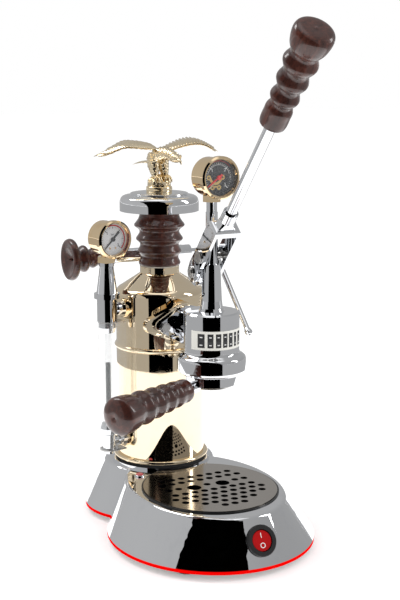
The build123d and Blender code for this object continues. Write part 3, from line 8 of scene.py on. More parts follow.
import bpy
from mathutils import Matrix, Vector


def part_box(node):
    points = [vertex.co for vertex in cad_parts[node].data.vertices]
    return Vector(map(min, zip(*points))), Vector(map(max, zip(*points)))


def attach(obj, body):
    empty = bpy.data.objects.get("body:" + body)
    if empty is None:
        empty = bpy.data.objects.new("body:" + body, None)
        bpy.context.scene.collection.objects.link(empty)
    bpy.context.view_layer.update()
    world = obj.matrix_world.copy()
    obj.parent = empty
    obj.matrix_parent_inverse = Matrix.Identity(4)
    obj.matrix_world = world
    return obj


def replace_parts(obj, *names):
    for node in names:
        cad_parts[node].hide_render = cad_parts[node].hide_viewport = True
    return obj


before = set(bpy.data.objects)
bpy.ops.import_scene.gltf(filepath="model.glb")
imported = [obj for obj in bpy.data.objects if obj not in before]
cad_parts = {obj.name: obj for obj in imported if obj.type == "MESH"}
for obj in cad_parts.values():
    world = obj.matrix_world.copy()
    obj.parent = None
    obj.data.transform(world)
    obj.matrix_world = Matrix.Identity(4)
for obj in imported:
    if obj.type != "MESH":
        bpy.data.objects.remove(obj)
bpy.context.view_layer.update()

import logging
import math
from dataclasses import dataclass
from enum import Enum

import bmesh
import bpy
import numpy as np
from mathutils import Vector

log = logging.getLogger("espresso_machine")

Colour = tuple[float, float, float]
Triple = tuple[float, float, float]
Surface = tuple[np.ndarray, np.ndarray]

MM = 0.001
TURN = 2 * math.pi
CAMERA_TURN = math.radians(-26.85)
CAMERA_PITCH = math.radians(10.81)
LEVER_RISE = math.radians(48.8)
HANDLE_TURN = math.radians(25.0)
HANDLE_DROOP = math.radians(2.3)
RIGHTWARDS, BACKWARDS, UPWARDS = (1, 0, 0), (0, 1, 0), (0, 0, 1)


# Shader maths


class Signal:
    """One shader socket that takes part in sums, each of which adds a Math node."""

    def __init__(self, tree: "ShaderTree", socket: bpy.types.NodeSocket) -> None:
        """Keeps the socket and the tree that it belongs to."""
        self.tree = tree
        self.socket = socket

    def math(self, operation: str, *terms: "Signal | float") -> "Signal":
        """Result of a Math node.

        Args:
            operation: Blender's name of the operation.
            terms: The operation's terms in order, as signals or numbers.

        Returns:
            The node's value.
        """
        return self.tree.add("ShaderNodeMath", {"operation": operation}, dict(enumerate(terms)))

    def __add__(self, other: "Signal | float") -> "Signal":
        """Sum."""
        return self.math("ADD", self, other)

    __radd__ = __add__

    def __sub__(self, other: "Signal | float") -> "Signal":
        """Difference."""
        return self.math("SUBTRACT", self, other)

    def __rsub__(self, other: float) -> "Signal":
        """Difference from a number."""
        return self.math("SUBTRACT", other, self)

    def __mul__(self, other: "Signal | float") -> "Signal":
        """Product."""
        return self.math("MULTIPLY", self, other)

    __rmul__ = __mul__

    def __pow__(self, other: "Signal | float") -> "Signal":
        """Power."""
        return self.math("POWER", self, other)

    def __rpow__(self, other: float) -> "Signal":
        """Power of a number."""
        return self.math("POWER", other, self)

    def smoothed(self, low: float, high: float) -> "Signal":
        """Rise from zero to one between two values, with soft ends."""
        return self.tree.add("ShaderNodeMapRange", {"interpolation_type": "SMOOTHSTEP"},
                             {"Value": self, "From Min": low, "From Max": high})


class ShaderTree:
    """Nodes of a material or of the room."""

    def __init__(self, name: str, room: bpy.types.World | None = None) -> None:
        """Makes an empty tree with an output node, in a new material or in the room."""
        self.owner = room or bpy.data.materials.new(name)
        self.owner.use_nodes = True
        self.tree = self.owner.node_tree
        self.tree.nodes.clear()
        self.output = self.tree.nodes.new("ShaderNodeOutputWorld" if room else "ShaderNodeOutputMaterial")

    def add(self, kind: str, settings: dict | None = None, inputs: dict | None = None,
            output: str | int = 0) -> Signal:
        """Adds a node.

        Args:
            kind: Blender's type name of the node.
            settings: The node's own settings; "stops" holds a colour ramp's places and colours.
            inputs: Values or signals for the sockets, by name or number.
            output: Name or number of the wanted output.

        Returns:
            The wanted output as a signal.
        """
        node = self.tree.nodes.new(kind)
        for name, value in (settings or {}).items():
            if name == "stops":
                ramp = node.color_ramp
                for index, (place, colour) in enumerate(value):
                    stop = ramp.elements[index] if index < len(ramp.elements) else ramp.elements.new(place)
                    stop.position = place
                    stop.color = (*colour, 1.0)
            else:
                setattr(node, name, value)
        for key, value in (inputs or {}).items():
            if isinstance(value, Signal):
                self.tree.links.new(value.socket, node.inputs[key])
            else:
                node.inputs[key].default_value = value
        return Signal(self, node.outputs[output])

    def place(self, turn: Vector | None = None, stretch: Triple = (1, 1, 1)) -> Signal:
        """Place on the piece, turned and stretched for a pattern.

        Args:
            turn: Direction that becomes the pattern's Z, or None.
            stretch: Factors along the pattern's axes.

        Returns:
            The place as a vector.
        """
        coordinates = self.add("ShaderNodeTexCoord", output="Object")
        angles = (0.0, 0.0, 0.0)
        if turn is not None:
            angles = tuple(Vector(turn).to_track_quat("Z", "Y").inverted().to_euler())
        turned = self.add("ShaderNodeMapping", {"vector_type": "POINT"},
                          {"Vector": coordinates, "Rotation": angles})
        return self.add("ShaderNodeMapping", {"vector_type": "POINT"}, {"Vector": turned, "Scale": stretch})

    def noise(self, place: Signal, scale: float, detail: float = 3.0, roughness: float = 0.5,
              distortion: float = 0.0) -> Signal:
        """Noise value at a place."""
        return self.add("ShaderNodeTexNoise", None, {"Vector": place, "Scale": scale, "Detail": detail,
                                                     "Roughness": roughness, "Distortion": distortion}, "Fac")

    def ramp(self, value: Signal, stops: list[tuple[float, Colour]]) -> Signal:
        """Colour of a value by a ramp."""
        return self.add("ShaderNodeValToRGB", {"stops": stops}, {"Fac": value}, "Color")

    def mix(self, factor: Signal, first: "Signal | tuple", second: "Signal | tuple") -> Signal:
        """Blend of two colours."""
        sockets = {0: factor, 6: first if isinstance(first, Signal) else (*first, 1.0),
                   7: second if isinstance(second, Signal) else (*second, 1.0)}
        return self.add("ShaderNodeMix", {"data_type": "RGBA"}, sockets, 2)

    def bump(self, height: Signal, strength: float, distance: float) -> Signal:
        """Normal of a surface with a height on it."""
        return self.add("ShaderNodeBump", None,
                        {"Height": height, "Strength": strength, "Distance": distance}, "Normal")

    def surface(self, **sockets: "Signal | float | tuple") -> bpy.types.Material:
        """Finishes the material with a Principled surface.

        Args:
            sockets: Values of the shader's sockets, with underscores for spaces.

        Returns:
            The finished material.
        """
        named = {name.replace("_", " "): value for name, value in sockets.items()}
        self.join_output(self.add("ShaderNodeBsdfPrincipled", None, named, "BSDF"))
        return self.owner

    def join_output(self, shader: Signal) -> None:
        """Joins a shader to the output."""
        self.tree.links.new(shader.socket, self.output.inputs["Surface"])


# Finishes


@dataclass(frozen=True)
class PolishedMetal:
    """Plated and polished metal with faint hairlines, smudges and a slight waviness."""

    colour: Colour
    shade: Colour
    roughness: float = 0.018
    hairlines: float = 0.014
    ripple: float = 0.035
    cloud_scale: float = 16.0
    wave_scale: float = 22.0
    smudge_scale: float = 55.0
    hair_scale: float = 190.0
    hair_stretch: float = 18.0
    wave_height: float = 1.2 * MM

    def make(self, name: str) -> bpy.types.Material:
        """Makes the material."""
        tree = ShaderTree(name)
        place = tree.place()
        cloud = tree.noise(place, self.cloud_scale, 4.0)
        smudge = tree.noise(place, self.smudge_scale, 5.0, 0.65).smoothed(0.52, 0.74)
        hair = tree.noise(tree.place(stretch=(1, 1, self.hair_stretch)), self.hair_scale, 2.0)
        waves = tree.noise(place, self.wave_scale, 1.0)
        colour = tree.mix(smudge * 0.35 + cloud * 0.25, self.colour, self.shade)
        return tree.surface(
            Base_Color=colour,
            Metallic=1.0,
            Roughness=self.roughness + smudge * 0.02 + hair.smoothed(0.55, 0.8) * self.hairlines,
            Normal=tree.bump(waves + hair * 0.01, self.ripple, self.wave_height),
        )


@dataclass(frozen=True)
class BrushedMetal:
    """Metal brushed along one direction."""

    colour: Colour
    shade: Colour
    roughness: float = 0.22
    stretch: Triple = (1, 14, 14)
    stroke_scale: float = 90.0
    stain_scale: float = 30.0
    stroke_height: float = 0.2 * MM

    def make(self, name: str) -> bpy.types.Material:
        """Makes the material."""
        tree = ShaderTree(name)
        stroke = tree.noise(tree.place(stretch=self.stretch), self.stroke_scale, 4.0, 0.7)
        stain = tree.noise(tree.place(), self.stain_scale, 4.0)
        return tree.surface(
            Base_Color=tree.mix(stroke * 0.5 + stain * 0.3, self.colour, self.shade),
            Metallic=1.0,
            Roughness=self.roughness + stroke * 0.12 + stain * 0.05,
            Normal=tree.bump(stroke, 0.12, self.stroke_height),
        )


@dataclass(frozen=True)
class TurnedWood:
    """Dark lacquered hardwood whose grain runs along a direction."""

    grain: Triple = (0, 0, 1)
    dark: Colour = (0.012, 0.0035, 0.0022)
    middle: Colour = (0.050, 0.0110, 0.0060)
    light: Colour = (0.150, 0.040, 0.024)
    figure_scale: float = 28.0
    ring_scale: float = 150.0
    pore_scale: float = 900.0
    tool_mark_scale: float = 1400.0
    relief_height: float = 0.3 * MM

    def make(self, name: str) -> bpy.types.Material:
        """Makes the material."""
        tree = ShaderTree(name)
        grain = Vector(self.grain)
        rings = tree.noise(tree.place(grain, (1, 1, 0.09)), self.ring_scale, 5.0, 0.62, 0.9)
        pores = tree.noise(tree.place(grain, (1, 1, 0.05)), self.pore_scale, 2.0).smoothed(0.56, 0.72)
        figure = tree.noise(tree.place(), self.figure_scale, 3.0)
        tone = rings * 0.75 + figure * 0.35 - pores * 0.16
        tool_marks = tree.noise(tree.place(grain, (0.05, 0.05, 1)), self.tool_mark_scale, 1.0)
        return tree.surface(
            Base_Color=tree.ramp(tone, [(0.28, self.dark), (0.56, self.middle), (0.84, self.light)]),
            Roughness=0.30 + rings * 0.12,
            Specular_IOR_Level=0.35,
            Coat_Weight=0.80 - pores * 0.2,
            Coat_Roughness=0.07,
            Normal=tree.bump(rings * 0.3 - pores * 0.5 + tool_marks * 0.15, 0.14, self.relief_height),
        )


@dataclass(frozen=True)
class Lacquer:
    """Moulded plastic or enamel with a fine skin."""

    colour: Colour
    shade: Colour
    roughness: float = 0.25
    grain: float = 0.05
    coat: float = 0.2
    gloss: float = 0.25
    skin_scale: float = 700.0
    stain_scale: float = 24.0
    skin_height: float = 0.2 * MM

    def make(self, name: str) -> bpy.types.Material:
        """Makes the material."""
        tree = ShaderTree(name)
        skin = tree.noise(tree.place(), self.skin_scale, 2.0)
        stain = tree.noise(tree.place(), self.stain_scale, 4.0)
        return tree.surface(
            Base_Color=tree.mix(stain, self.colour, self.shade),
            Roughness=self.roughness + stain * 0.08 + skin * 0.05,
            Specular_IOR_Level=self.gloss,
            Coat_Weight=self.coat,
            Coat_Roughness=0.08,
            Normal=tree.bump(skin, self.grain, self.skin_height),
        )


@dataclass(frozen=True)
class ClearSheet:
    """Clear glass or acrylic that shows by its gloss and at its edges, by a painted edge sheen."""

    colour: Colour
    middle_alpha: float = 0.07
    edge_alpha: float = 0.55
    roughness: float = 0.03
    dust_colour: Colour = (0.9, 0.9, 0.9)
    dust_scale: float = 60.0

    def make(self, name: str) -> bpy.types.Material:
        """Makes the material."""
        tree = ShaderTree(name)
        # Painted edge sheen: the pale colour turns opaque where the surface is seen edge-on, in place of a
        # reflection.
        painted_edge_sheen = tree.add("ShaderNodeLayerWeight", None, {"Blend": 0.35}, "Facing")
        dust = tree.noise(tree.place(), self.dust_scale, 4.0).smoothed(0.5, 0.8)
        return tree.surface(
            Base_Color=tree.mix(dust, self.colour, self.dust_colour),
            Roughness=self.roughness + dust * 0.03,
            Specular_IOR_Level=0.6,
            Alpha=self.middle_alpha + painted_edge_sheen**2.0 * (self.edge_alpha - self.middle_alpha) + dust * 0.015,
        )


class Finish(Enum):
    """The machine's finishes."""

    CHROME = PolishedMetal((0.86, 0.87, 0.89), (0.78, 0.79, 0.82))
    GOLD = PolishedMetal((0.97, 0.82, 0.60), (0.93, 0.75, 0.50))
    DEEP_GOLD = PolishedMetal((0.97, 0.77, 0.50), (0.90, 0.62, 0.33), 0.05)
    CAST_GOLD = PolishedMetal((0.98, 0.84, 0.60), (0.84, 0.64, 0.38), 0.20, 0.03, 0.25)
    STEEL = BrushedMetal((0.56, 0.55, 0.53), (0.44, 0.43, 0.42))
    GRATE_STEEL = BrushedMetal((0.52, 0.48, 0.44), (0.42, 0.39, 0.35), 0.05, (1, 6, 6))
    ALUMINIUM = BrushedMetal((0.70, 0.70, 0.72), (0.58, 0.58, 0.60), 0.3)
    BLACK_PLASTIC = Lacquer((0.010, 0.010, 0.011), (0.020, 0.020, 0.021), 0.28)
    SATIN_BLACK = Lacquer((0.012, 0.012, 0.012), (0.030, 0.030, 0.031), 0.5, 0.3, 0.0)
    RED_PLASTIC = Lacquer((0.42, 0.003, 0.004), (0.34, 0.002, 0.003), 0.3, 0.02, 0.05, 0.1)
    RED_TRIM = Lacquer((0.92, 0.002, 0.001), (0.86, 0.002, 0.001), 0.6, 0.03, 0.0, 0.0)
    LAMP_RED = Lacquer((0.62, 0.10, 0.12), (0.45, 0.05, 0.07), 0.10, 0.02, 1.0)
    RUBBER = Lacquer((0.018, 0.018, 0.018), (0.035, 0.034, 0.033), 0.75, 0.5, 0.0)
    WHITE_ENAMEL = Lacquer((0.60, 0.60, 0.61), (0.52, 0.52, 0.53), 0.4, 0.02, 0.1)
    BLACK_ENAMEL = Lacquer((0.022, 0.023, 0.025), (0.040, 0.041, 0.043), 0.45, 0.02, 0.1)
    LABEL_WHITE = Lacquer((0.76, 0.75, 0.70), (0.70, 0.69, 0.64), 0.5, 0.05, 0.1)
    FIBRE_WHITE = Lacquer((0.72, 0.69, 0.62), (0.60, 0.56, 0.49), 0.7, 0.6, 0.0)
    NEEDLE_RED = Lacquer((0.70, 0.02, 0.02), (0.62, 0.015, 0.015), 0.35, 0.02, 0.2)
    PRINT_RED = Lacquer((0.42, 0.008, 0.012), (0.34, 0.006, 0.01), 0.5, 0.02, 0.0)
    PRINT_WHITE = Lacquer((0.80, 0.80, 0.79), (0.72, 0.72, 0.71), 0.4, 0.02, 0.1)
    PRINT_GOLD = Lacquer((0.62, 0.44, 0.16), (0.50, 0.34, 0.10), 0.4, 0.05, 0.2)
    GLASS = ClearSheet((0.86, 0.90, 0.92))
    GAUGE_GLASS = ClearSheet((0.80, 0.82, 0.84), 0.04, 0.35, 0.02)
    ACRYLIC = ClearSheet((0.90, 0.92, 0.93), 0.05, 0.5, 0.05)
    WATER = ClearSheet((0.88, 0.92, 0.94), 0.06, 0.30, 0.02)
    WOOD_UPRIGHT = TurnedWood()
    WOOD_ACROSS = TurnedWood((1, 0, 0))
    WOOD_LEVER = TurnedWood((0, -math.cos(LEVER_RISE), math.sin(LEVER_RISE)))
    WOOD_GRIP = TurnedWood((-math.cos(HANDLE_TURN) * math.cos(HANDLE_DROOP),
                            -math.sin(HANDLE_TURN) * math.cos(HANDLE_DROOP), -math.sin(HANDLE_DROOP)))

    def material(self) -> bpy.types.Material:
        """The finish's material, made at its first use under a name that no CAD material has."""
        name = "finish_" + self.name.lower()
        return bpy.data.materials.get(name) or self.value.make(name)


# Meshes


def settle(mesh: bpy.types.Mesh, gap: float = 1e-7) -> None:
    """Merges points that lie in one place and turns all faces outwards.

    Args:
        mesh: The mesh to settle.
        gap: Distance under which points are merged.
    """
    shell = bmesh.new()
    shell.from_mesh(mesh)
    bmesh.ops.remove_doubles(shell, verts=shell.verts, dist=gap)
    bmesh.ops.recalc_face_normals(shell, faces=shell.faces)
    shell.to_mesh(mesh)
    shell.free()


def link(name: str, data: bpy.types.ID) -> bpy.types.Object:
    """Links a new object that shows the data into the scene."""
    thing = bpy.data.objects.new(name, data)
    bpy.context.scene.collection.objects.link(thing)
    return thing


def enter(name: str, mesh: bpy.types.Mesh, finish: Finish, body: str) -> bpy.types.Object:
    """Settles a mesh, gives it its finish and puts it into the scene as a piece of the machine.

    Args:
        name: Name of the piece.
        mesh: Its mesh, in metres in the machine's frame.
        finish: The piece's finish.
        body: CAD body that the piece rides on.

    Returns:
        The new object.
    """
    settle(mesh)
    mesh.materials.clear()
    mesh.materials.append(finish.material())
    mesh.update()
    piece = link(name, mesh)
    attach(piece, body)
    log.info("made %s", name)
    return piece


def publish(name: str, surface: Surface, finish: Finish, body: str,
            smooth: bool = True) -> bpy.types.Object:
    """Makes a piece of the machine from points and faces.

    Args:
        name: Name of the piece.
        surface: Points in metres and faces as rows of point numbers.
        finish: The piece's finish.
        body: CAD body that the piece rides on.
        smooth: Whether the faces are shaded smooth.

    Returns:
        The new object.
    """
    points, faces = surface
    mesh = bpy.data.meshes.new(name)
    mesh.from_pydata(points.tolist(), [], faces.tolist())
    mesh.validate()
    mesh.polygons.foreach_set("use_smooth", np.full(len(mesh.polygons), smooth))
    return enter(name, mesh, finish, body)


def grid_faces(rows: int, columns: int, around: bool = False) -> np.ndarray:
    """Quads of a grid of points.

    A quad joins point (i, j) to (i, j+1), (i+1, j+1) and (i+1, j). The last column joins the first where the
    grid closes around.

    Args:
        rows: Number of rows of points.
        columns: Number of points in a row.
        around: Whether each row is closed.

    Returns:
        Rows of four point numbers.
    """
    spans = columns if around else columns - 1
    i, j = np.meshgrid(np.arange(rows - 1), np.arange(spans), indexing="ij")
    following = (j + 1) % columns
    near, far = i * columns, (i + 1) * columns
    return np.stack([near + j, near + following, far + following, far + j], axis=-1).reshape(-1, 4)


def joined(parts: list[Surface]) -> Surface:
    """One set of points and faces from several.

    Args:
        parts: Points and quads of each part.

    Returns:
        All points, and all faces with their numbers moved on.
    """
    counts = np.cumsum([0] + [len(points) for points, _ in parts[:-1]])
    return (np.vstack([points for points, _ in parts]),
            np.vstack([faces + start for (_, faces), start in zip(parts, counts)]))


def frames_along(path: np.ndarray, upright: np.ndarray) -> tuple[np.ndarray, np.ndarray]:
    """Two directions across a path at each of its points.

    The tangent is the difference of the neighbours. The first direction is the cross product of the upright
    direction and the tangent, and the second is the cross product of the tangent and the first.

    Args:
        path: Points of the path.
        upright: Direction that the path never runs along.

    Returns:
        The first and second direction at each point.
    """
    tangent = np.gradient(path, axis=0)
    tangent /= np.linalg.norm(tangent, axis=1, keepdims=True)
    side = np.cross(upright, tangent)
    side /= np.linalg.norm(side, axis=1, keepdims=True)
    return side, np.cross(tangent, side)


def swept(path: np.ndarray, widths: np.ndarray, heights: np.ndarray, upright: Triple, segments: int,
          relief: np.ndarray | None) -> Surface:
    """Closed oval tube along a path.

    A point at angle a is the path's point plus the side direction times width times cos a plus the other
    direction times height times sin a, and the whole is scaled by one plus the relief. Both ends close at the
    path's ends.

    Args:
        path: Points of the path.
        widths: Half widths along the path.
        heights: Half heights along the path.
        upright: Direction that the path never runs along.
        segments: Number of points round the tube.
        relief: Share by which each point stands out, by path point and angle, or None.

    Returns:
        Points and quads.
    """
    side, up = frames_along(path, np.array(upright, float))
    angle = np.linspace(0, TURN, segments, endpoint=False)
    swell = np.ones((len(path), segments)) if relief is None else 1 + relief
    ring = (side[:, None, :] * (widths[:, None] * np.cos(angle))[..., None]
            + up[:, None, :] * (heights[:, None] * np.sin(angle))[..., None])
    points = path[:, None, :] + ring * swell[..., None]
    first = np.repeat(path[:1, None, :], segments, axis=1)
    last = np.repeat(path[-1:, None, :], segments, axis=1)
    points = np.vstack([first, points, last])
    return points.reshape(-1, 3), grid_faces(len(path) + 2, segments, True)


def curve_through(knots: list[tuple[float, ...]], count: int) -> np.ndarray:
    """Smooth curve through knots, one row for each point.

    Between two knots each value is the cubic Hermite blend whose slopes are half the difference of the knots
    on either side.

    Args:
        knots: Rows of values to pass through.
        count: Number of points wanted.

    Returns:
        The rows of the curve.
    """
    rows = np.array(knots, float)
    slopes = np.gradient(rows, axis=0)
    place = np.linspace(0, len(rows) - 1, count)
    index = np.minimum(place.astype(int), len(rows) - 2)
    t = (place - index)[:, None]
    a, b, da, db = rows[index], rows[index + 1], slopes[index], slopes[index + 1]
    return ((2 * t**3 - 3 * t**2 + 1) * a + (t**3 - 2 * t**2 + t) * da
            + (3 * t**2 - 2 * t**3) * b + (t**3 - t**2) * db)


def lathe(profile: np.ndarray, segments: int) -> Surface:
    """Surface turned about Z from rows of radius and height.

    A point at angle a is (radius cos a, radius sin a, height).

    Args:
        profile: Radii and heights from the foot upwards on the outside.
        segments: Number of points round.

    Returns:
        Points and quads.
    """
    angle = np.linspace(0, TURN, segments, endpoint=False)
    radius, height = profile[:, :1], profile[:, 1:]
    points = np.stack([radius * np.cos(angle), radius * np.sin(angle), height + 0 * angle], axis=-1)
    return points.reshape(-1, 3), grid_faces(len(profile), segments, True)


@dataclass(frozen=True)
class Placing:
    """A place with three directions, which takes points from a piece's own frame to the machine's."""

    origin: Vector
    right: Vector
    up: Vector

    def move(self, points: np.ndarray) -> np.ndarray:
        """Points in the machine's frame: origin plus x times right, y times up and z times out."""
        axes = np.array([self.right, self.up, self.right.cross(self.up)], float)
        return points @ axes + np.array(self.origin, float)


def middle_of(node: str) -> Vector:
    """Middle of a CAD node's box."""
    low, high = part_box(node)
    return (low + high) / 2


def moved(surface: Surface, by: Triple) -> Surface:
    """The surface with all its points moved on."""
    points, faces = surface
    return points + np.array(by), faces


def arc_band(inner: float, outer: float, start: float, end: float, height: float, steps: int) -> Surface:
    """Flat band round Z with a small thickness, closed all round.

    Its section is a rectangle from the inner to the outer radius and from zero to the height, and it is
    carried from the start angle to the end angle, with both ends closed.

    Args:
        inner: Inner radius.
        outer: Outer radius.
        start: First angle.
        end: Last angle.
        height: Thickness along Z.
        steps: Number of spans.

    Returns:
        Points and quads.
    """
    angle = np.linspace(start, end, steps + 1)[:, None]
    radius = np.array([inner, outer, outer, inner])
    level = np.array([0, 0, height, height])
    points = np.stack([radius * np.cos(angle), radius * np.sin(angle), level + 0 * angle], axis=-1)
    last = 4 * steps
    caps = np.array([[0, 3, 2, 1], [last, last + 1, last + 2, last + 3]])
    return points.reshape(-1, 3), np.vstack([grid_faces(steps + 1, 4, True), caps])


def bar(length: float, width: float, height: float, reach: float, angle: float) -> Surface:
    """Small box that points away from Z, its near end at the reach, turned to an angle.

    Args:
        length: Size away from Z.
        width: Size across.
        height: Thickness along Z.
        reach: Distance of the near end from Z.
        angle: Turn about Z.

    Returns:
        Points and quads.
    """
    x = np.array([0, 1, 1, 0, 0, 1, 1, 0]) * length + reach
    y = (np.array([0, 0, 1, 1, 0, 0, 1, 1]) - 0.5) * width
    z = np.array([0, 0, 0, 0, 1, 1, 1, 1]) * height
    cosine, sine = math.cos(angle), math.sin(angle)
    points = np.stack([x * cosine - y * sine, x * sine + y * cosine, z], -1)
    faces = np.array([[3, 2, 1, 0], [4, 5, 6, 7], [0, 1, 5, 4], [1, 2, 6, 5], [2, 3, 7, 6], [3, 0, 4, 7]])
    return points, faces


def lettering(name: str, words: str, size: float, thickness: float, placing: Placing, x: float, y: float,
              finish: Finish, body: str) -> bpy.types.Object:
    """Raised figures or letters, made a mesh before they are placed.

    Args:
        name: Name of the piece.
        words: What is written.
        size: Height of the type.
        thickness: How far it stands up.
        placing: Frame whose X and Y the writing lies on.
        x: Place of its middle along X.
        y: Place of its middle along Y.
        finish: The piece's finish.
        body: CAD body that the piece rides on.

    Returns:
        The new object.
    """
    text = bpy.data.curves.new(name + "_type", "FONT")
    text.body = words
    text.size = size
    text.extrude = thickness / 2
    text.align_x = "CENTER"
    text.align_y = "CENTER"
    holder = link(name + "_type", text)
    bpy.context.view_layer.update()
    mesh = bpy.data.meshes.new_from_object(holder.evaluated_get(bpy.context.evaluated_depsgraph_get()))
    bpy.data.objects.remove(holder)
    points = np.zeros(len(mesh.vertices) * 3)
    mesh.vertices.foreach_get("co", points)
    points = points.reshape(-1, 3) + np.array([x, y, thickness / 2])
    mesh.vertices.foreach_set("co", placing.move(points).ravel())
    mesh.name = name
    return enter(name, mesh, finish, body)


def dress(finishes: dict[Finish, tuple[str, ...]]) -> None:
    """Gives CAD nodes their finishes.

    Args:
        finishes: Names of the nodes for each finish.
    """
    for finish, nodes in finishes.items():
        for node in nodes:
            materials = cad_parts[node].data.materials
            materials.clear()
            materials.append(finish.material())
            log.info("dressed %s with %s", node, finish.name.lower())


# Sub-assemblies


@dataclass
class Base:
    """Chromed shell with its trim, feet, switch, lamp, tray and grate."""

    mark_height: float = 7.0 * MM
    mark_thickness: float = 0.25 * MM
    mark_reach: float = 4.6 * MM
    rocker_half_thickness: float = 3.02 * MM
    wall_lean: float = math.atan2(21.3, 41.3)

    def build(self) -> None:
        """Dresses the base and marks its switch."""
        dress({
            Finish.CHROME: ("base_shell", "pilot_lamp_bezel"),
            Finish.RED_TRIM: ("base_trim_strip",),
            Finish.STEEL: ("bottom_plate", "base_screws"),
            Finish.RUBBER: ("rubber_feet",),
            Finish.BLACK_PLASTIC: ("power_inlet", "wiring_loom", "switch_housing", "drip_tray"),
            Finish.RED_PLASTIC: ("switch_rocker",),
            Finish.LAMP_RED: ("pilot_lamp_lens",),
            Finish.GRATE_STEEL: ("drip_grate",),
        })
        self.mark_switch()

    def mark_switch(self) -> None:
        """Puts the generic on and off marks on the rocker's face."""
        outward = Vector((0, -math.cos(self.wall_lean), math.sin(self.wall_lean)))
        right = Vector((1, 0, 0))
        face = middle_of("switch_rocker") + outward * self.rocker_half_thickness
        placing = Placing(face, right, outward.cross(right))
        for name, words, side in (("switch_on_mark", "I", 1), ("switch_off_mark", "O", -1)):
            lettering(name, words, self.mark_height, self.mark_thickness, placing, 0, side * self.mark_reach,
                      Finish.PRINT_WHITE, "power_switch")


@dataclass
class Boiler:
    """Gold boiler with its gasket, element and safety valve."""

    def build(self) -> None:
        """Dresses the boiler."""
        dress({
            Finish.GOLD: ("boiler_shell",),
            Finish.DEEP_GOLD: ("safety_valve",),
            Finish.STEEL: ("boiler_lock_ring", "heating_element"),
            Finish.RUBBER: ("boiler_gasket",),
            Finish.BLACK_PLASTIC: ("thermostat",),
        })


@dataclass
class SightGlass:
    """Sight glass with its water, fittings and clear guard."""

    water_share: float = 0.62
    water_radius: float = 2.5 * MM
    meniscus_radius_share: float = 0.6
    meniscus_edge_drop: float = 0.25
    meniscus_drop: float = 0.35
    water_segments: int = 24

    def build(self) -> None:
        """Dresses the sight glass and fills it with water."""
        dress({
            Finish.CHROME: ("sight_fittings", "sight_nuts"),
            Finish.STEEL: ("guard_clips",),
            Finish.GLASS: ("sight_glass_tube",),
            Finish.ACRYLIC: ("glass_guard",),
        })
        low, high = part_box("sight_glass_tube")
        middle = (low + high) / 2
        top = low.z + (high.z - low.z) * self.water_share
        radius = self.water_radius
        profile = np.array([(0, low.z), (radius, low.z), (radius, top),
                            (radius * self.meniscus_radius_share, top - radius * self.meniscus_edge_drop),
                            (0, top - radius * self.meniscus_drop)])
        water = moved(lathe(profile, self.water_segments), (middle.x, middle.y, 0))
        publish("sight_glass_water", water, Finish.WATER, "machine")


class Dial(Enum):
    """The two kinds of gauge face."""

    BOILER = "boiler"
    GROUP = "group"


@dataclass(frozen=True)
class Tick:
    """Size of one kind of tick on a dial."""

    length: float
    width: float


@dataclass(frozen=True)
class DialArc:
    """Arc printed on a dial: how far inside the dial's edge its two edges lie, its angles and its spans."""

    inner_inset: float
    outer_inset: float
    start: float
    end: float
    steps: int


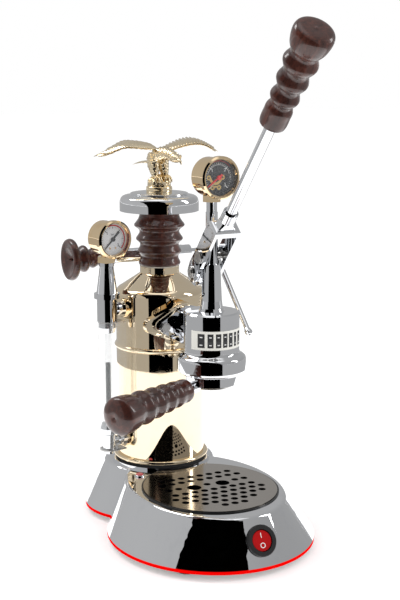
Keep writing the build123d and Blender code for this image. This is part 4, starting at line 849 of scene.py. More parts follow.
@dataclass
class Gauge:
    """A gauge with its printed dial, on which places are given from the middle or inwards from the edge."""

    dial: Dial
    face_turn: float
    body: str
    dial_half_thickness: float = 0.4 * MM
    print_thickness: float = 0.12 * MM
    scale_start: float = math.radians(225)
    scale_sweep: float = math.radians(270)
    fine_steps: int = 30
    figures: tuple[str, ...] = ("0", "1", "2", "3")
    main_tick: Tick = Tick(2.8 * MM, 0.75 * MM)
    middle_tick: Tick = Tick(2.2 * MM, 0.5 * MM)
    fine_tick: Tick = Tick(1.3 * MM, 0.26 * MM)
    tick_inset: float = 2.9 * MM
    figure_inset: float = 6.9 * MM
    figure_height: float = 4.4 * MM
    white_dial_band: DialArc = DialArc(2.5 * MM, 1.0 * MM, math.radians(-45), math.radians(112), 44)
    unit_height: float = 3.0 * MM
    unit_rise: float = 4.9 * MM
    screw_radius: float = 1.15 * MM
    screw_rise: float = 0.6 * MM
    screw_across: float = 3.2 * MM
    screw_drop: float = 8.8 * MM
    black_dial_ring: DialArc = DialArc(4.9 * MM, 4.6 * MM, math.radians(15), math.radians(165), 48)
    black_dial_band: DialArc = DialArc(1.5 * MM, 0.9 * MM, math.radians(40), math.radians(150), 40)
    arch_middle: float = -3.0 * MM
    arch_rise: float = 0.4 * MM
    arch_radii: tuple[float, float] = (4.6 * MM, 7.0 * MM)
    arch_angles: tuple[float, float] = (math.radians(188), math.radians(352))
    arch_foot_length: float = 6.0 * MM
    arch_foot_width: float = 1.5 * MM
    arch_foot_drop: float = 8.2 * MM
    boss_places: tuple[tuple[float, float], ...] = ((7.4 * MM, 0.2 * MM), (3.4 * MM, -9.0 * MM))
    boss_radius: float = 2.3 * MM
    boss_hole: float = 1.0 * MM

    def build(self) -> None:
        """Dresses the gauge and prints its dial."""
        name = self.dial.value
        white = self.dial is Dial.BOILER
        dress({
            Finish.DEEP_GOLD: (name + "_gauge_case",),
            Finish.WHITE_ENAMEL if white else Finish.BLACK_ENAMEL: (name + "_gauge_dial",),
            Finish.GAUGE_GLASS: (name + "_gauge_window",),
            Finish.SATIN_BLACK if white else Finish.NEEDLE_RED: (name + "_gauge_needle",),
        })
        self.print_scale(name, Finish.SATIN_BLACK if white else Finish.PRINT_WHITE)
        if white:
            self.print_boiler_face(name)
        else:
            self.print_group_face(name)

    @property
    def placing(self) -> Placing:
        """Frame on the dial's front, whose X is to the right and whose Y is up."""
        right, up = Vector((math.cos(self.face_turn), math.sin(self.face_turn), 0)), Vector((0, 0, 1))
        front = middle_of(self.dial.value + "_gauge_dial") + right.cross(up) * self.dial_half_thickness
        return Placing(front, right, up)

    @property
    def reach(self) -> float:
        """Radius of the dial."""
        low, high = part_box(self.dial.value + "_gauge_dial")
        return (high.z - low.z) / 2

    def ink(self, name: str, parts: list[Surface], finish: Finish, smooth: bool = False) -> None:
        """Puts printed parts or small fittings on the dial as one piece."""
        points, faces = joined(parts)
        publish(name, (self.placing.move(points), faces), finish, self.body, smooth)

    def print_arc(self, name: str, arc: DialArc, finish: Finish) -> None:
        """Prints an arc round the dial's middle as one piece."""
        inner, outer = self.reach - arc.inner_inset, self.reach - arc.outer_inset
        self.ink(name, [arc_band(inner, outer, arc.start, arc.end, self.print_thickness, arc.steps)], finish)

    def print_scale(self, name: str, finish: Finish) -> None:
        """Prints the ticks and figures round the dial.

        Args:
            name: The gauge's name.
            finish: Their colour.
        """
        parts = []
        for step in range(self.fine_steps + 1):
            angle = self.scale_start - self.scale_sweep * step / self.fine_steps
            tick = self.fine_tick
            if step % 5 == 0:
                tick = self.main_tick if step % 10 == 0 else self.middle_tick
            parts.append(bar(tick.length, tick.width, self.print_thickness,
                             self.reach - self.tick_inset - tick.length, angle))
        self.ink(name + "_gauge_ticks", parts, finish)
        reach = self.reach - self.figure_inset
        for step, words in enumerate(self.figures):
            angle = self.scale_start - self.scale_sweep * step / (len(self.figures) - 1)
            lettering(f"{name}_gauge_figure_{words}", words, self.figure_height, self.print_thickness,
                      self.placing, reach * math.cos(angle), reach * math.sin(angle), finish, self.body)

    def print_boiler_face(self, name: str) -> None:
        """Prints the red band and the unit, and sets the two small screws of the white dial."""
        self.print_arc(name + "_gauge_red_band", self.white_dial_band, Finish.PRINT_RED)
        lettering(name + "_gauge_unit", "bar", self.unit_height, self.print_thickness, self.placing,
                  0, self.unit_rise, Finish.SATIN_BLACK, self.body)
        angle = np.linspace(0, math.pi / 2, 7)
        dome = np.stack([self.screw_radius * np.cos(angle), self.screw_rise * np.sin(angle)], axis=-1)
        screw = lathe(np.vstack([[(0, 0)], dome]), 20)
        screws = [moved(screw, (side * self.screw_across, -self.screw_drop, 0)) for side in (-1, 1)]
        self.ink(name + "_gauge_screws", screws, Finish.DEEP_GOLD, True)

    def print_group_face(self, name: str) -> None:
        """Prints a plain gold arch with four bosses, a pale ring and a short red arc on the black dial."""
        thick, middle = self.print_thickness, self.arch_middle
        boss = arc_band(self.boss_hole, self.boss_radius, 0, TURN, thick, 20)
        parts = [moved(boss, (middle + side * across, rise, 0))
                 for side in (-1, 1) for across, rise in self.boss_places]
        arch = arc_band(*self.arch_radii, *self.arch_angles, thick, 24)
        foot = bar(self.arch_foot_length, self.arch_foot_width, thick, -self.arch_foot_length / 2, 0)
        parts += [moved(arch, (middle, self.arch_rise, 0)), moved(foot, (middle, -self.arch_foot_drop, 0))]
        self.ink(name + "_gauge_arch", parts, Finish.PRINT_GOLD)
        self.print_arc(name + "_gauge_ring", self.black_dial_ring, Finish.PRINT_WHITE)
        self.print_arc(name + "_gauge_red_band", self.black_dial_band, Finish.PRINT_RED)


@dataclass
class SteamValve:
    """Steam valve, its turned knob and the wand."""

    def build(self) -> None:
        """Dresses the valve."""
        dress({
            Finish.CHROME: ("steam_valve_body", "wand_nut", "steam_wand"),
            Finish.STEEL: ("steam_spindle",),
            Finish.WOOD_ACROSS: ("steam_knob",),
        })


@dataclass
class Group:
    """Chromed group with the piston, the lever, the portafilter and the temperature strip's print."""

    strip_radius: float = 26.95 * MM
    cell_middles: tuple[float, ...] = (48.8, 29.5, 13.1, -1.2, -14.6, -27.9, -42.9)
    cell_widths: tuple[float, ...] = (15.0, 11.9, 11.0, 9.8, 9.7, 7.7, 11.2)
    cell_margin: float = 2.4 * MM
    window_rise: float = 0.06 * MM
    mark_rise: float = 0.12 * MM
    mark_share: float = 0.42
    mark_half_height: float = 0.5 * MM
    lower_mark_inset: float = 5.0 * MM
    upper_mark_inset: float = 5.6 * MM
    patch_thickness: float = 0.1 * MM
    patch_columns: int = 7

    def build(self) -> None:
        """Dresses the group and prints the temperature strip."""
        dress({
            Finish.CHROME: ("group_body", "piston_rod", "lever_fork", "lever_rod", "portafilter_body"),
            Finish.STEEL: ("group_flange_bolts", "cylinder_sleeve", "shower_screen", "fulcrum_pin",
                           "roller_pin", "filter_basket"),
            Finish.FIBRE_WHITE: ("group_flange_gasket",),
            Finish.RUBBER: ("group_seal", "piston_seals"),
            Finish.LABEL_WHITE: ("temperature_strip",),
            Finish.ALUMINIUM: ("piston",),
            Finish.WOOD_LEVER: ("lever_handle",),
            Finish.WOOD_GRIP: ("portafilter_handle",),
        })
        self.print_strip()

    def patch(self, axis: Vector, middle: float, width: float, low: float, high: float,
              radius: float) -> Surface:
        """Patch of an upright cylinder with a small thickness.

        A point at azimuth a, from the front towards the left, is (-radius sin a, -radius cos a) from the
        axis.

        Args:
            axis: A point on the cylinder's axis.
            middle: Azimuth of the patch's middle.
            width: Its width as an angle.
            low: Its lower level.
            high: Its upper level.
            radius: Radius of its face.

        Returns:
            Points and quads.
        """
        azimuth = np.linspace(middle - width / 2, middle + width / 2, self.patch_columns)[:, None]
        level = np.array([low, high, high, low])
        back = radius - self.patch_thickness
        reach = np.array([radius, radius, back, back])
        points = np.stack([axis.x - reach * np.sin(azimuth), axis.y - reach * np.cos(azimuth),
                           level + 0 * azimuth], axis=-1).reshape(-1, 3)
        last = 4 * (self.patch_columns - 1)
        caps = np.array([[3, 2, 1, 0], [last, last + 1, last + 2, last + 3]])
        return points, np.vstack([grid_faces(self.patch_columns, 4, True), caps])

    def print_strip(self) -> None:
        """Prints the strip's seven black windows with their small marks."""
        axis = middle_of("cylinder_sleeve")
        low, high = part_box("temperature_strip")
        windows, marks = [], []
        for middle, span in zip(self.cell_middles, self.cell_widths):
            azimuth, width = math.radians(middle), math.radians(span)
            windows.append(self.patch(axis, azimuth, width, low.z + self.cell_margin,
                                      high.z - self.cell_margin, self.strip_radius + self.window_rise))
            for level in (low.z + self.lower_mark_inset, high.z - self.upper_mark_inset):
                marks.append(self.patch(axis, azimuth, width * self.mark_share, level - self.mark_half_height,
                                        level + self.mark_half_height, self.strip_radius + self.mark_rise))
        publish("strip_windows", joined(windows), Finish.BLACK_ENAMEL, "machine")
        publish("strip_marks", joined(marks), Finish.PRINT_WHITE, "machine")


@dataclass
class Cap:
    """Boiler cap of turned wood with its chromed disc."""

    def build(self) -> None:
        """Dresses the cap."""
        dress({
            Finish.FIBRE_WHITE: ("cap_seal",),
            Finish.GOLD: ("cap_plug",),
            Finish.WOOD_UPRIGHT: ("cap_wood",),
            Finish.CHROME: ("cap_disc",),
        })


@dataclass(frozen=True)
class WingSheet:
    """Curved sheet between a wing's leading and trailing edge, in millimetres."""

    leading: np.ndarray
    trailing: np.ndarray
    camber: float = 1.6

    def at(self, u: np.ndarray, v: np.ndarray, lift: np.ndarray) -> np.ndarray:
        """Points over the sheet.

        A point is the leading edge's point at u, plus v of the way to the trailing edge's, plus the camber
        times 4 v (1 - v) and the lift along the normal, which is the cross product of the span and that way.

        Args:
            u: Place along the span, from zero at the root to one at the tip.
            v: Place across it, from zero at the leading edge to one at the trailing edge.
            lift: Height over the sheet.

        Returns:
            One point for each u, v and lift.
        """
        count = len(self.leading) - 1
        index = np.clip((u * count).astype(int), 0, count - 1)
        share = (u * count - index)[..., None]
        lead = self.leading[index] * (1 - share) + self.leading[index + 1] * share
        trail = self.trailing[index] * (1 - share) + self.trailing[index + 1] * share
        chord = trail - lead
        normal = np.cross(self.leading[index + 1] - self.leading[index], chord)
        normal *= np.sign(normal[..., 2:]) / np.linalg.norm(normal, axis=-1, keepdims=True)
        height = self.camber * np.clip(4 * v * (1 - v), 0, 1) + lift
        return lead + chord * v[..., None] + normal * height[..., None]


@dataclass(frozen=True)
class FeatherRow:
    """A row of feathers that overlap along a wing or a tail."""

    count: int
    roots: tuple[float, float]
    root_depth: tuple[float, float]
    tips: tuple[float, float]
    tip_depth: tuple[float, float]
    half_width: float
    lift: float
    rise: float = 0.5
    thickness: float = 0.32
    ridge_height: float = 0.22
    ridge_width: float = 0.22
    edge_lean: float = 0.16
    along: int = 10
    around: int = 10

    def grow(self, sheet: WingSheet, span: float, chord: float) -> Surface:
        """Feathers as closed leaves over a sheet.

        A feather runs straight from its root to its tip in the sheet's own u and v. At share s of its length
        its half width is the given one times the root of (1 - s^5) (1 - (1 - s)^8), and it is an oval across:
        cos a to the side and sin a up, with a low ridge along its shaft and one edge higher than the other.

        Args:
            sheet: The sheet that carries them.
            span: Length of the sheet along u.
            chord: Its length along v.

        Returns:
            Points and quads.
        """
        order = np.linspace(0, 1, self.count)[:, None, None]
        s = np.linspace(0, 1, self.along)[None, :, None]
        angle = np.linspace(0, TURN, self.around, endpoint=False)[None, None, :]
        root_u, root_v, tip_u, tip_v = (first + (last - first) * order for first, last in
                                        (self.roots, self.root_depth, self.tips, self.tip_depth))
        run_u, run_v = tip_u - root_u, tip_v - root_v
        length = np.hypot(run_u * span, run_v * chord)
        fullness = np.sqrt((1 - s**5) * (1 - (1 - s)**8))
        width = self.half_width * fullness
        across = width * np.cos(angle)
        u = root_u + run_u * s - across * run_v * chord / length / span
        v = root_v + run_v * s + across * run_u * span / length / chord
        ridge = self.ridge_height * np.exp(-(np.cos(angle) / self.ridge_width)**2) * (np.sin(angle) > 0)
        lift = (self.lift + self.rise * s + (self.thickness * np.sin(angle) + ridge) * fullness
                + self.edge_lean * np.cos(angle) * width)
        points = sheet.at(u, v, lift).reshape(-1, 3)
        starts = (np.arange(self.count) * self.along * self.around)[:, None, None]
        return points, (grid_faces(self.along, self.around, True)[None] + starts).reshape(-1, 4)


@dataclass(frozen=True)
class Plumage:
    """Small overlapping feathers or scales on a tube."""

    along: int
    around: int
    depth: float

    def relief(self, count: int, segments: int) -> np.ndarray:
        """Relief of the scales.

        With p the place along in scales and g the place round from a scale's middle, each second row moved by
        half, the relief is the depth times the fraction of p times 1 - (2 g)^2.

        Args:
            count: Points along the tube.
            segments: Points round it.

        Returns:
            The relief by point along and point round.
        """
        along = np.linspace(0, self.along, count)[:, None]
        row = np.floor(along)
        turned = np.linspace(0, self.around, segments, endpoint=False)[None, :] + 0.5 * (row % 2)
        across = turned - np.floor(turned) - 0.5
        return self.depth * (along - row) * (1 - (2 * across)**2)


@dataclass
class Eagle:
    """Cast eagle that lands on a rock with its wings spread, in millimetres about the rock's axis."""

    rise: float = 30.0
    wing_reach: tuple[float, ...] = (3.0, 10.0, 22.0, 34.0, 46.0, 58.0, 69.0)
    leading_front: tuple[float, ...] = (-6.0, -8.0, -11.0, -12.0, -10.0, -3.0, 6.0)
    trailing_front: tuple[float, ...] = (10.0, 12.0, 15.0, 17.0, 17.0, 15.0, 11.0)
    left_leading: tuple[float, ...] = (8.0, 12.4, 13.8, 15.0, 15.0, 9.8, 5.2)
    left_trailing: tuple[float, ...] = (13.0, 18.6, 20.6, 20.6, 15.8, 10.2, 7.4)
    right_leading: tuple[float, ...] = (7.0, 11.3, 15.1, 17.0, 15.8, 11.5, 6.6)
    right_trailing: tuple[float, ...] = (10.0, 14.0, 18.2, 21.4, 21.8, 16.0, 8.4)
    left_share: float = 0.93
    span: float = 72.0
    chord: float = 25.0
    edge_points: int = 160
    flat_along: int = 90
    flat_around: int = 32
    flat_end: float = 0.985
    flat_half_depth: float = 0.46
    flat_thickness: float = 2.3
    flat_thinning: float = 1.6
    trailing_thinning: float = 0.7
    groove_count: int = 12
    groove_depth: float = 0.22
    wing_rows: tuple[FeatherRow, ...] = (
        FeatherRow(8, (0.60, 0.90), (0.30, 0.35), (0.74, 1.035), (1.24, 0.72), 2.0, 0.1),
        FeatherRow(12, (0.05, 0.60), (0.40, 0.32), (0.07, 0.72), (1.04, 1.16), 2.3, 0.1),
        FeatherRow(17, (0.04, 0.84), (0.20, 0.18), (0.07, 0.91), (0.70, 0.74), 2.1, 0.75),
        FeatherRow(21, (0.02, 0.86), (0.00, 0.02), (0.05, 0.92), (0.42, 0.46), 1.75, 1.25),
        FeatherRow(23, (0.02, 0.86), (-0.06, -0.04), (0.04, 0.90), (0.22, 0.26), 1.5, 1.55),
    )
    tail_row: FeatherRow = FeatherRow(9, (0.12, 0.88), (0.0, 0.0), (0.02, 0.98), (1.0, 1.0), 1.9, 0.2)
    tail_span: float = 18.0
    tail_chord: float = 31.0
    breast_plumage: Plumage = Plumage(17, 12, 0.13)
    crown_plumage: Plumage = Plumage(7, 10, 0.05)
    thigh_plumage: Plumage = Plumage(10, 9, 0.12)
    toe_scales: Plumage = Plumage(7, 2, 0.12)
    least_radius: float = 0.02
    foot_across: float = 5.5
    foot_front: float = -4.5
    toe_turns: tuple[tuple[float, float], ...] = ((-28, 7.6), (0, 8.4), (28, 7.6), (180, 5.4))
    toe_profile: tuple[tuple[float, float, float], ...] = (
        (0, -14.4, 1.7), (0.3, -13.9, 1.5), (0.6, -14.6, 1.35), (0.85, -16.4, 1.1), (1.0, -18.6, 0.55),
        (1.02, -20.2, 0.1),
    )
    lumps: tuple[tuple[float, float, float, float], ...] = (
        (20, 9.2, -20.4, 3.2), (95, 8.8, -19.8, 2.8), (150, 9.2, -21.2, 2.9),
        (215, 8.8, -20.6, 3.2), (262, 9.0, -21.6, 2.5), (318, 9.4, -19.6, 3.4),
    )

    def build(self) -> None:
        """Builds the eagle in place of its plain CAD figure."""
        self.carve("eagle_body", [self.torso(), self.head(), self.beak(), *self.eyes(), *self.legs()])
        for side in (-1, 1):
            self.carve("eagle_wing_left" if side < 0 else "eagle_wing_right", self.wing(side))
        self.carve("eagle_tail", [self.tail()])
        self.carve("eagle_claws", self.claws())
        self.carve("eagle_rock", self.rock())

    def carve(self, name: str, parts: list[Surface]) -> None:
        """Puts parts of the eagle, given in millimetres, in their place as one piece."""
        low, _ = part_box("eagle_figure")
        axis = middle_of("cap_disc")
        points, faces = joined(parts)
        placed = moved((points * MM, faces), (axis.x, axis.y, low.z + self.rise * MM))
        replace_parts(publish(name, placed, Finish.CAST_GOLD, "boiler_cap"), "eagle_figure")

    def tube(self, knots: list[tuple[float, ...]], upright: Triple, count: int, segments: int,
             plumage: Plumage | np.ndarray | None = None) -> Surface:
        """Closed oval tube through knots.

        Args:
            knots: Rows of place, half width and half height.
            upright: Direction that the tube never runs along.
            count: Points along.
            segments: Points round.
            plumage: Small feathers on it, or its relief by point along and point round.

        Returns:
            Points and quads.
        """
        rows = curve_through(knots, count)
        width, height = np.maximum(rows[:, 3:], self.least_radius).T
        relief = plumage.relief(count, segments) if isinstance(plumage, Plumage) else plumage
        return swept(rows[:, :3], width, height, upright, segments, relief)

    def torso(self) -> Surface:
        """Body from the root of the tail over the back and along the neck."""
        knots = [(0, 20, -3, 0.5, 0.5), (0, 15, -0.5, 5.0, 3.4), (0, 8, 2.5, 7.8, 6.4), (0, 0, 5.5, 8.8, 7.8),
                 (0, -8, 8.0, 8.4, 7.4), (0, -16, 9.4, 6.8, 6.2), (0, -24, 9.2, 5.5, 5.2),
                 (0, -31, 8.2, 5.0, 4.9), (0, -37, 7.0, 4.9, 4.7)]
        return self.tube(knots, UPWARDS, 96, 60, self.breast_plumage)

    def head(self) -> Surface:
        """Head with its flat crown."""
        knots = [(0, -33, 7.6, 0.5, 0.5), (0, -34, 7.4, 4.4, 4.2), (0, -38, 6.6, 5.2, 4.5),
                 (0, -42, 5.6, 4.4, 3.7), (0, -45, 4.9, 2.9, 2.6), (0, -46.5, 4.5, 1.9, 2.0)]
        return self.tube(knots, UPWARDS, 40, 36, self.crown_plumage)

    def beak(self) -> Surface:
        """Hooked beak."""
        knots = [(0, -44.5, 5.0, 1.9, 2.2), (0, -47.5, 4.6, 1.6, 1.9), (0, -50, 3.4, 1.1, 1.3),
                 (0, -51.2, 1.6, 0.6, 0.7), (0, -51.3, 0.2, 0.1, 0.1)]
        return self.tube(knots, RIGHTWARDS, 24, 16)

    def eyes(self) -> list[Surface]:
        """Two eyes under their brows."""
        eye = lathe(np.array([(0, -1.0), (0.7, -0.7), (1.0, 0), (0.7, 0.7), (0, 1.0)]), 16)
        parts = []
        for side in (-1, 1):
            brow = [(side * 4.2, -37.5, 8.6, 0.3, 0.3), (side * 4.9, -40, 8.9, 0.8, 0.8),
                    (side * 3.9, -43.5, 7.7, 0.6, 0.6), (side * 2.8, -45.5, 6.4, 0.2, 0.2)]
            parts += [moved(eye, (side * 4.3, -41.0, 7.0)), self.tube(brow, UPWARDS, 14, 10)]
        return parts

    def legs(self) -> list[Surface]:
        """Two feathered thighs with bare feet under them."""
        parts = []
        for side in (-1, 1):
            knots = [(side * 3.4, 3, 9.0, 5.4, 7.0), (side * 4.4, 3, 4.0, 6.2, 8.6),
                     (side * 5.0, 2, -2.0, 5.8, 7.8), (side * 5.3, 0, -7.0, 4.8, 6.0),
                     (side * 5.5, -1.5, -11.0, 3.9, 4.4), (side * 5.6, -3.0, -14.5, 2.6, 3.0),
                     (side * 5.6, -3.5, -16.0, 1.6, 1.8)]
            parts.append(self.tube(knots, BACKWARDS, 72, 36, self.thigh_plumage))
        return parts

    def wing(self, side: int) -> list[Surface]:
        """One wing with its rows of feathers.

        The flat of the wing is a closed shell over its sheet: at angle a round the chord v is the half depth
        times (1 - cos a), drawn in at both ends, and the lift is the thickness times sin a, less towards the
        tip and the trailing edge, with a groove between feathers below.

        Args:
            side: -1 for the user's left, 1 for the right.

        Returns:
            Points and quads of each part.
        """
        leading_rise = self.left_leading if side < 0 else self.right_leading
        trailing_rise = self.left_trailing if side < 0 else self.right_trailing
        reach = np.array(self.wing_reach) * (-self.left_share if side < 0 else 1)
        leading = curve_through(list(zip(reach, self.leading_front, leading_rise)), self.edge_points)
        trailing = curve_through(list(zip(reach, self.trailing_front, trailing_rise)), self.edge_points)
        sheet = WingSheet(leading, trailing)
        angle = np.linspace(0, TURN, self.flat_around, endpoint=False)[None, :]
        u = np.linspace(0, self.flat_end, self.flat_along)[:, None] + 0 * angle
        closing = np.sqrt(1 - np.abs(2 * u / self.flat_end - 1)**18)
        v = self.flat_half_depth * (1 - np.cos(angle) * closing)
        thick = (self.flat_thickness - self.flat_thinning * u) * (1 - self.trailing_thinning * v)
        groove = self.groove_depth * np.sin(u * TURN * self.groove_count) * (np.sin(angle) < 0)
        flat = sheet.at(u, v, (thick * np.sin(angle) + groove) * closing)
        parts = [(flat.reshape(-1, 3), grid_faces(self.flat_along, self.flat_around, True))]
        return parts + [row.grow(sheet, self.span, self.chord) for row in self.wing_rows]

    def tail(self) -> Surface:
        """Fan of the tail's feathers."""
        share = np.linspace(-1, 1, 60)
        leading = np.stack([5.0 * share, 11 + 0 * share, -1.2 - 1.4 * share**2], axis=-1)
        trailing = np.stack([12.5 * share, 42.5 - 3.0 * share**2, -3.4 - 2.4 * share**2], axis=-1)
        return self.tail_row.grow(WingSheet(leading, trailing), self.tail_span, self.tail_chord)

    def claws(self) -> list[Surface]:
        """Toes that grip the rock, three ahead and one behind on each foot."""
        parts = []
        for side in (-1, 1):
            for turn, reach in self.toe_turns:
                across, ahead = math.sin(math.radians(turn)), -math.cos(math.radians(turn))
                knots = [(side * self.foot_across + across * reach * share,
                          self.foot_front + ahead * reach * share, height, thick, thick)
                         for share, height, thick in self.toe_profile]
                parts.append(self.tube(knots, (-ahead, across, 0), 26, 14, self.toe_scales))
        return parts

    def rock(self) -> list[Surface]:
        """Rugged rock on its round foot.

        The rock is an oval tube up the axis. Its relief is the sum of a slow and a quicker wave round it,
        each times a sine of the height, and a fine wave, and the whole goes to zero at both ends. Smaller
        lumps sit round it.

        Returns:
            Points and quads of each part.
        """
        level = np.linspace(0, 1, 40)[:, None]
        angle = np.linspace(0, TURN, 72, endpoint=False)[None, :]
        relief = (0.10 * np.sin(3 * angle + 1.1 + 3.0 * level) * np.sin(7.0 * level + 0.4)
                  + 0.055 * np.sin(7 * angle - 8.0 * level) * np.sin(11.0 * level)
                  + 0.03 * np.sin(13 * angle + 21.0 * level))
        relief *= np.sin(np.pi * np.clip(level * 1.05, 0, 1))
        knots = [(0, 0, -29.9, 12.6, 12.6), (0, 0, -27.0, 12.8, 12.8), (0, -0.5, -23.0, 11.4, 11.0),
                 (0, -1.0, -19.0, 11.0, 10.2), (0, -1.5, -16.3, 9.4, 8.8), (0, -2.0, -15.2, 5.0, 5.0)]
        foot = lathe(np.array([(0, -30.0), (13.0, -30.0), (13.2, -29.5), (13.2, -25.2), (12.8, -24.5),
                               (11.8, -24.2), (0, -24.2)]), 64)
        lumps = [self.lump(*lump) for lump in self.lumps]
        return [self.tube(knots, BACKWARDS, 40, 72, relief), foot, *lumps]

    def lump(self, turn: float, reach: float, height: float, size: float) -> Surface:
        """Lump on the side of the rock: an oval ball with a slow wave over it.

        Args:
            turn: Its direction about the rock's axis, in degrees.
            reach: Distance of its middle from the axis.
            height: Height of its middle.
            size: Its radius.

        Returns:
            Points and quads.
        """
        x, y = reach * math.cos(math.radians(turn)), reach * math.sin(math.radians(turn))
        knots = [(x * inwards, y * inwards, height + size * rise, size * width, size * depth)
                 for inwards, rise, width, depth in ((1, -0.6, 0.85, 0.8), (1, 0, 1, 0.9),
                                                     (0.96, 0.6, 0.7, 0.75))]
        foot = (x, y, height - size, 0.3, 0.3)
        top = (x * 0.93, y * 0.93, height + size * 0.9, 0.3, 0.3)
        along = np.linspace(0, 9, 18)[:, None]
        relief = 0.08 * np.sin(along + 3 * np.linspace(0, TURN, 20, endpoint=False) + turn)
        return self.tube([foot, *knots, top], BACKWARDS, 18, 20, relief)


# Stage


@dataclass(frozen=True)
class Card:
    """Curved card about the machine that only reflections see."""

    name: str
    left: tuple[float, float]
    right: tuple[float, float]
    top: float
    columns: int = 33

    def surface(self, centre: Vector, side: Vector, back: Vector, radius: float) -> Surface:
        """Patch of a ball about the machine's foot.

        A point at elevation e and side angle b is the centre plus the radius times (sin b to the side,
        cos b cos e back, cos b sin e up). The side angles run from the left edge to the right edge, each of
        which has one value at the floor and one at the top.

        Args:
            centre: Middle of the ball.
            side: Level direction to the right.
            back: Level direction to the camera.
            radius: Radius of the ball.

        Returns:
            Points and quads.
        """
        share = np.linspace(0, 1, self.columns)[:, None]
        elevation = np.radians(self.top) * share
        left, right = (floor + (top - floor) * share**2 for floor, top in (self.left, self.right))
        angle = np.radians(left + (right - left) * share.T)
        points = (np.sin(angle)[..., None] * np.array(side)
                  + (np.cos(angle) * np.cos(elevation))[..., None] * np.array(back)
                  + (np.cos(angle) * np.sin(elevation))[..., None] * np.array(UPWARDS))
        return (points * radius + np.array(centre)).reshape(-1, 3), grid_faces(self.columns, self.columns)


@dataclass(frozen=True)
class SoftLight:
    """Rectangular light that points at the machine."""

    name: str
    place: Triple
    size: tuple[float, float]
    power: float


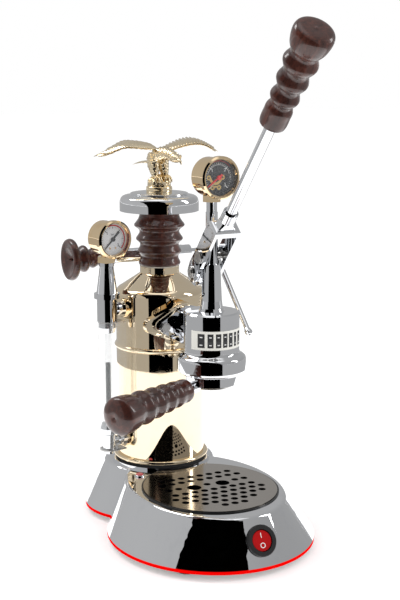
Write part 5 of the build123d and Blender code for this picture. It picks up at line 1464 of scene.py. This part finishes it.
@dataclass
class Studio:
    """Pale floor, soft light, a black flag, a grey far floor and the camera at the photograph's angle."""

    lens: float = 71.15
    sensor: float = 36.0
    axis_to_camera: Triple = (-0.5083, -1.09622, 0.44891)
    floor_half: float = 12.0
    floor_colour: Colour = (0.90, 0.90, 0.90)
    floor_shade: Colour = (0.92, 0.92, 0.92)
    floor_glow: Colour = (0.13, 0.13, 0.13)
    floor_reflected_glow: Colour = (0.36, 0.36, 0.36)
    card_radius: float = 0.64
    flag: Card = Card("black_flag", (-26.3, -29.1), (34.0, -0.3), 70.0)
    grey: float = 0.42
    grey_slope: float = 0.07
    ceiling_edge: tuple[float, float] = (0.90, 0.97)
    ceiling_gain: float = 0.7
    far_edge: float = 8.0
    far_rise: float = 0.4 * MM
    lights: tuple[SoftLight, ...] = (
        SoftLight("key_light", (-0.7, 0.9, 1.6), (0.5, 0.9), 9.0),
        SoftLight("rim_light", (1.2, -0.5, 0.9), (0.25, 0.9), 4.0),
    )
    lit_height: float = 0.2

    def build(self) -> None:
        """Makes the camera, the floor, the room, the lights and the cards."""
        self.make_camera()
        self.make_floor()
        self.make_world()
        self.make_lights()
        self.make_cards()
        bpy.context.scene.view_settings.view_transform = "Standard"

    @property
    def back(self) -> Vector:
        """Level direction from the machine to the camera."""
        return Vector((math.sin(CAMERA_TURN), -math.cos(CAMERA_TURN), 0))

    @property
    def side(self) -> Vector:
        """Level direction to the right in the picture."""
        return Vector((math.cos(CAMERA_TURN), math.sin(CAMERA_TURN), 0))

    @property
    def foot(self) -> Vector:
        """Point of the floor under the boiler's axis."""
        boiler = middle_of("boiler_gasket")
        return Vector((boiler.x, boiler.y, 0))

    def aim(self, thing: bpy.types.Object, place: Vector, away: Vector, axis: str) -> None:
        """Stands a thing at a place with one of its axes along a direction."""
        thing.location = place
        thing.rotation_mode = "QUATERNION"
        thing.rotation_quaternion = away.to_track_quat(axis, "Y")

    def make_camera(self) -> None:
        """Stands the camera where the photograph was taken."""
        data = bpy.data.cameras.new("camera")
        data.lens = self.lens
        data.sensor_width = self.sensor
        camera = link("camera", data)
        back = self.back * math.cos(CAMERA_PITCH) + Vector((0, 0, math.sin(CAMERA_PITCH)))
        self.aim(camera, self.foot + Vector(self.axis_to_camera), -back, "-Z")
        bpy.context.scene.camera = camera

    def stand(self, name: str, surface: Surface, material: bpy.types.Material) -> bpy.types.Object:
        """Makes a piece of the stage.

        Args:
            name: Name of the piece.
            surface: Its points and quads.
            material: Its material.

        Returns:
            The new object.
        """
        points, faces = surface
        mesh = bpy.data.meshes.new(name)
        mesh.from_pydata(points.tolist(), [], faces.tolist())
        mesh.materials.append(material)
        piece = link(name, mesh)
        return piece

    def make_floor(self) -> None:
        """Lays a pale floor so wide that its edge fades into the room, a little brighter in reflections."""
        tree = ShaderTree("floor")
        grain = tree.noise(tree.place(), 3.0, 2.0)
        glossy = tree.add("ShaderNodeLightPath", output="Is Glossy Ray")
        material = tree.surface(
            Base_Color=tree.mix(grain, self.floor_colour, self.floor_shade),
            Roughness=0.9,
            Specular_IOR_Level=0.1,
            Emission_Color=tree.mix(glossy, self.floor_glow, self.floor_reflected_glow),
            Emission_Strength=1.0,
        )
        corners = np.array([(-1, -1, 0), (1, -1, 0), (1, 1, 0), (-1, 1, 0)]) * self.floor_half
        self.stand("floor", (corners, np.array([(0, 1, 2, 3)])), material)

    def make_world(self) -> None:
        """Fills the room with plain white light, which reflections see as grey walls under a pale ceiling."""
        world = bpy.data.worlds.new("room")
        bpy.context.scene.world = world
        tree = ShaderTree("room", world)
        direction = tree.add("ShaderNodeTexCoord", output="Generated")
        height = tree.add("ShaderNodeSeparateXYZ", None, {"Vector": direction}, "Z")
        across = tree.add("ShaderNodeVectorMath", {"operation": "DOT_PRODUCT"}, {0: direction, 1: self.side},
                          "Value")
        ceiling = height.smoothed(*self.ceiling_edge) * self.ceiling_gain
        walls = self.grey - across * self.grey_slope + ceiling
        glossy = tree.add("ShaderNodeLightPath", output="Is Glossy Ray")
        strength = (walls - 1.0) * glossy + 1.0
        tree.join_output(tree.add("ShaderNodeBackground", None,
                                  {"Color": (1.0, 1.0, 1.0, 1.0), "Strength": strength}))

    def make_lights(self) -> None:
        """Hangs a soft light above and behind to the left and a narrow one to the right."""
        for light in self.lights:
            data = bpy.data.lights.new(light.name, "AREA")
            data.shape = "RECTANGLE"
            data.size, data.size_y = light.size
            data.energy = light.power
            place = Vector(light.place)
            self.aim(link(light.name, data), place, place - Vector((0, 0, self.lit_height)), "Z")

    def glowing(self, name: str, level: float) -> bpy.types.Material:
        """Dull black material that glows evenly."""
        return ShaderTree(name).surface(Base_Color=(0.0, 0.0, 0.0, 1.0), Roughness=1.0,
                                        Specular_IOR_Level=0.0, Emission_Color=(level, level, level, 1.0),
                                        Emission_Strength=1.0)

    def make_cards(self) -> None:
        """Stands a black flag before the machine and greys the far floor, both only for reflections."""
        flag = self.flag.surface(self.foot, self.side, self.back, self.card_radius)
        ring = lathe(np.array([(self.card_radius, self.far_rise), (self.far_edge, self.far_rise)]), 96)
        for name, surface, level in ((self.flag.name, flag, 0.0),
                                     ("far_floor", moved(ring, tuple(self.foot)), self.grey)):
            card = self.stand(name, surface, self.glowing(name, level))
            card.visible_camera = False
            card.visible_diffuse = False
            card.visible_shadow = False
            card.visible_transmission = False


def main() -> None:
    """Builds the machine's looks and the studio."""
    logging.basicConfig(level=logging.INFO, format="%(message)s")
    sections = [
        Studio(),
        Base(),
        Boiler(),
        SightGlass(),
        Gauge(Dial.BOILER, math.radians(10.0), "machine"),
        Gauge(Dial.GROUP, math.radians(4.0), "piston_assembly"),
        SteamValve(),
        Group(),
        Cap(),
        Eagle(),
    ]
    for section in sections:
        section.build()
        log.info("built %s", type(section).__name__)


if __name__ == "__main__":
    main()
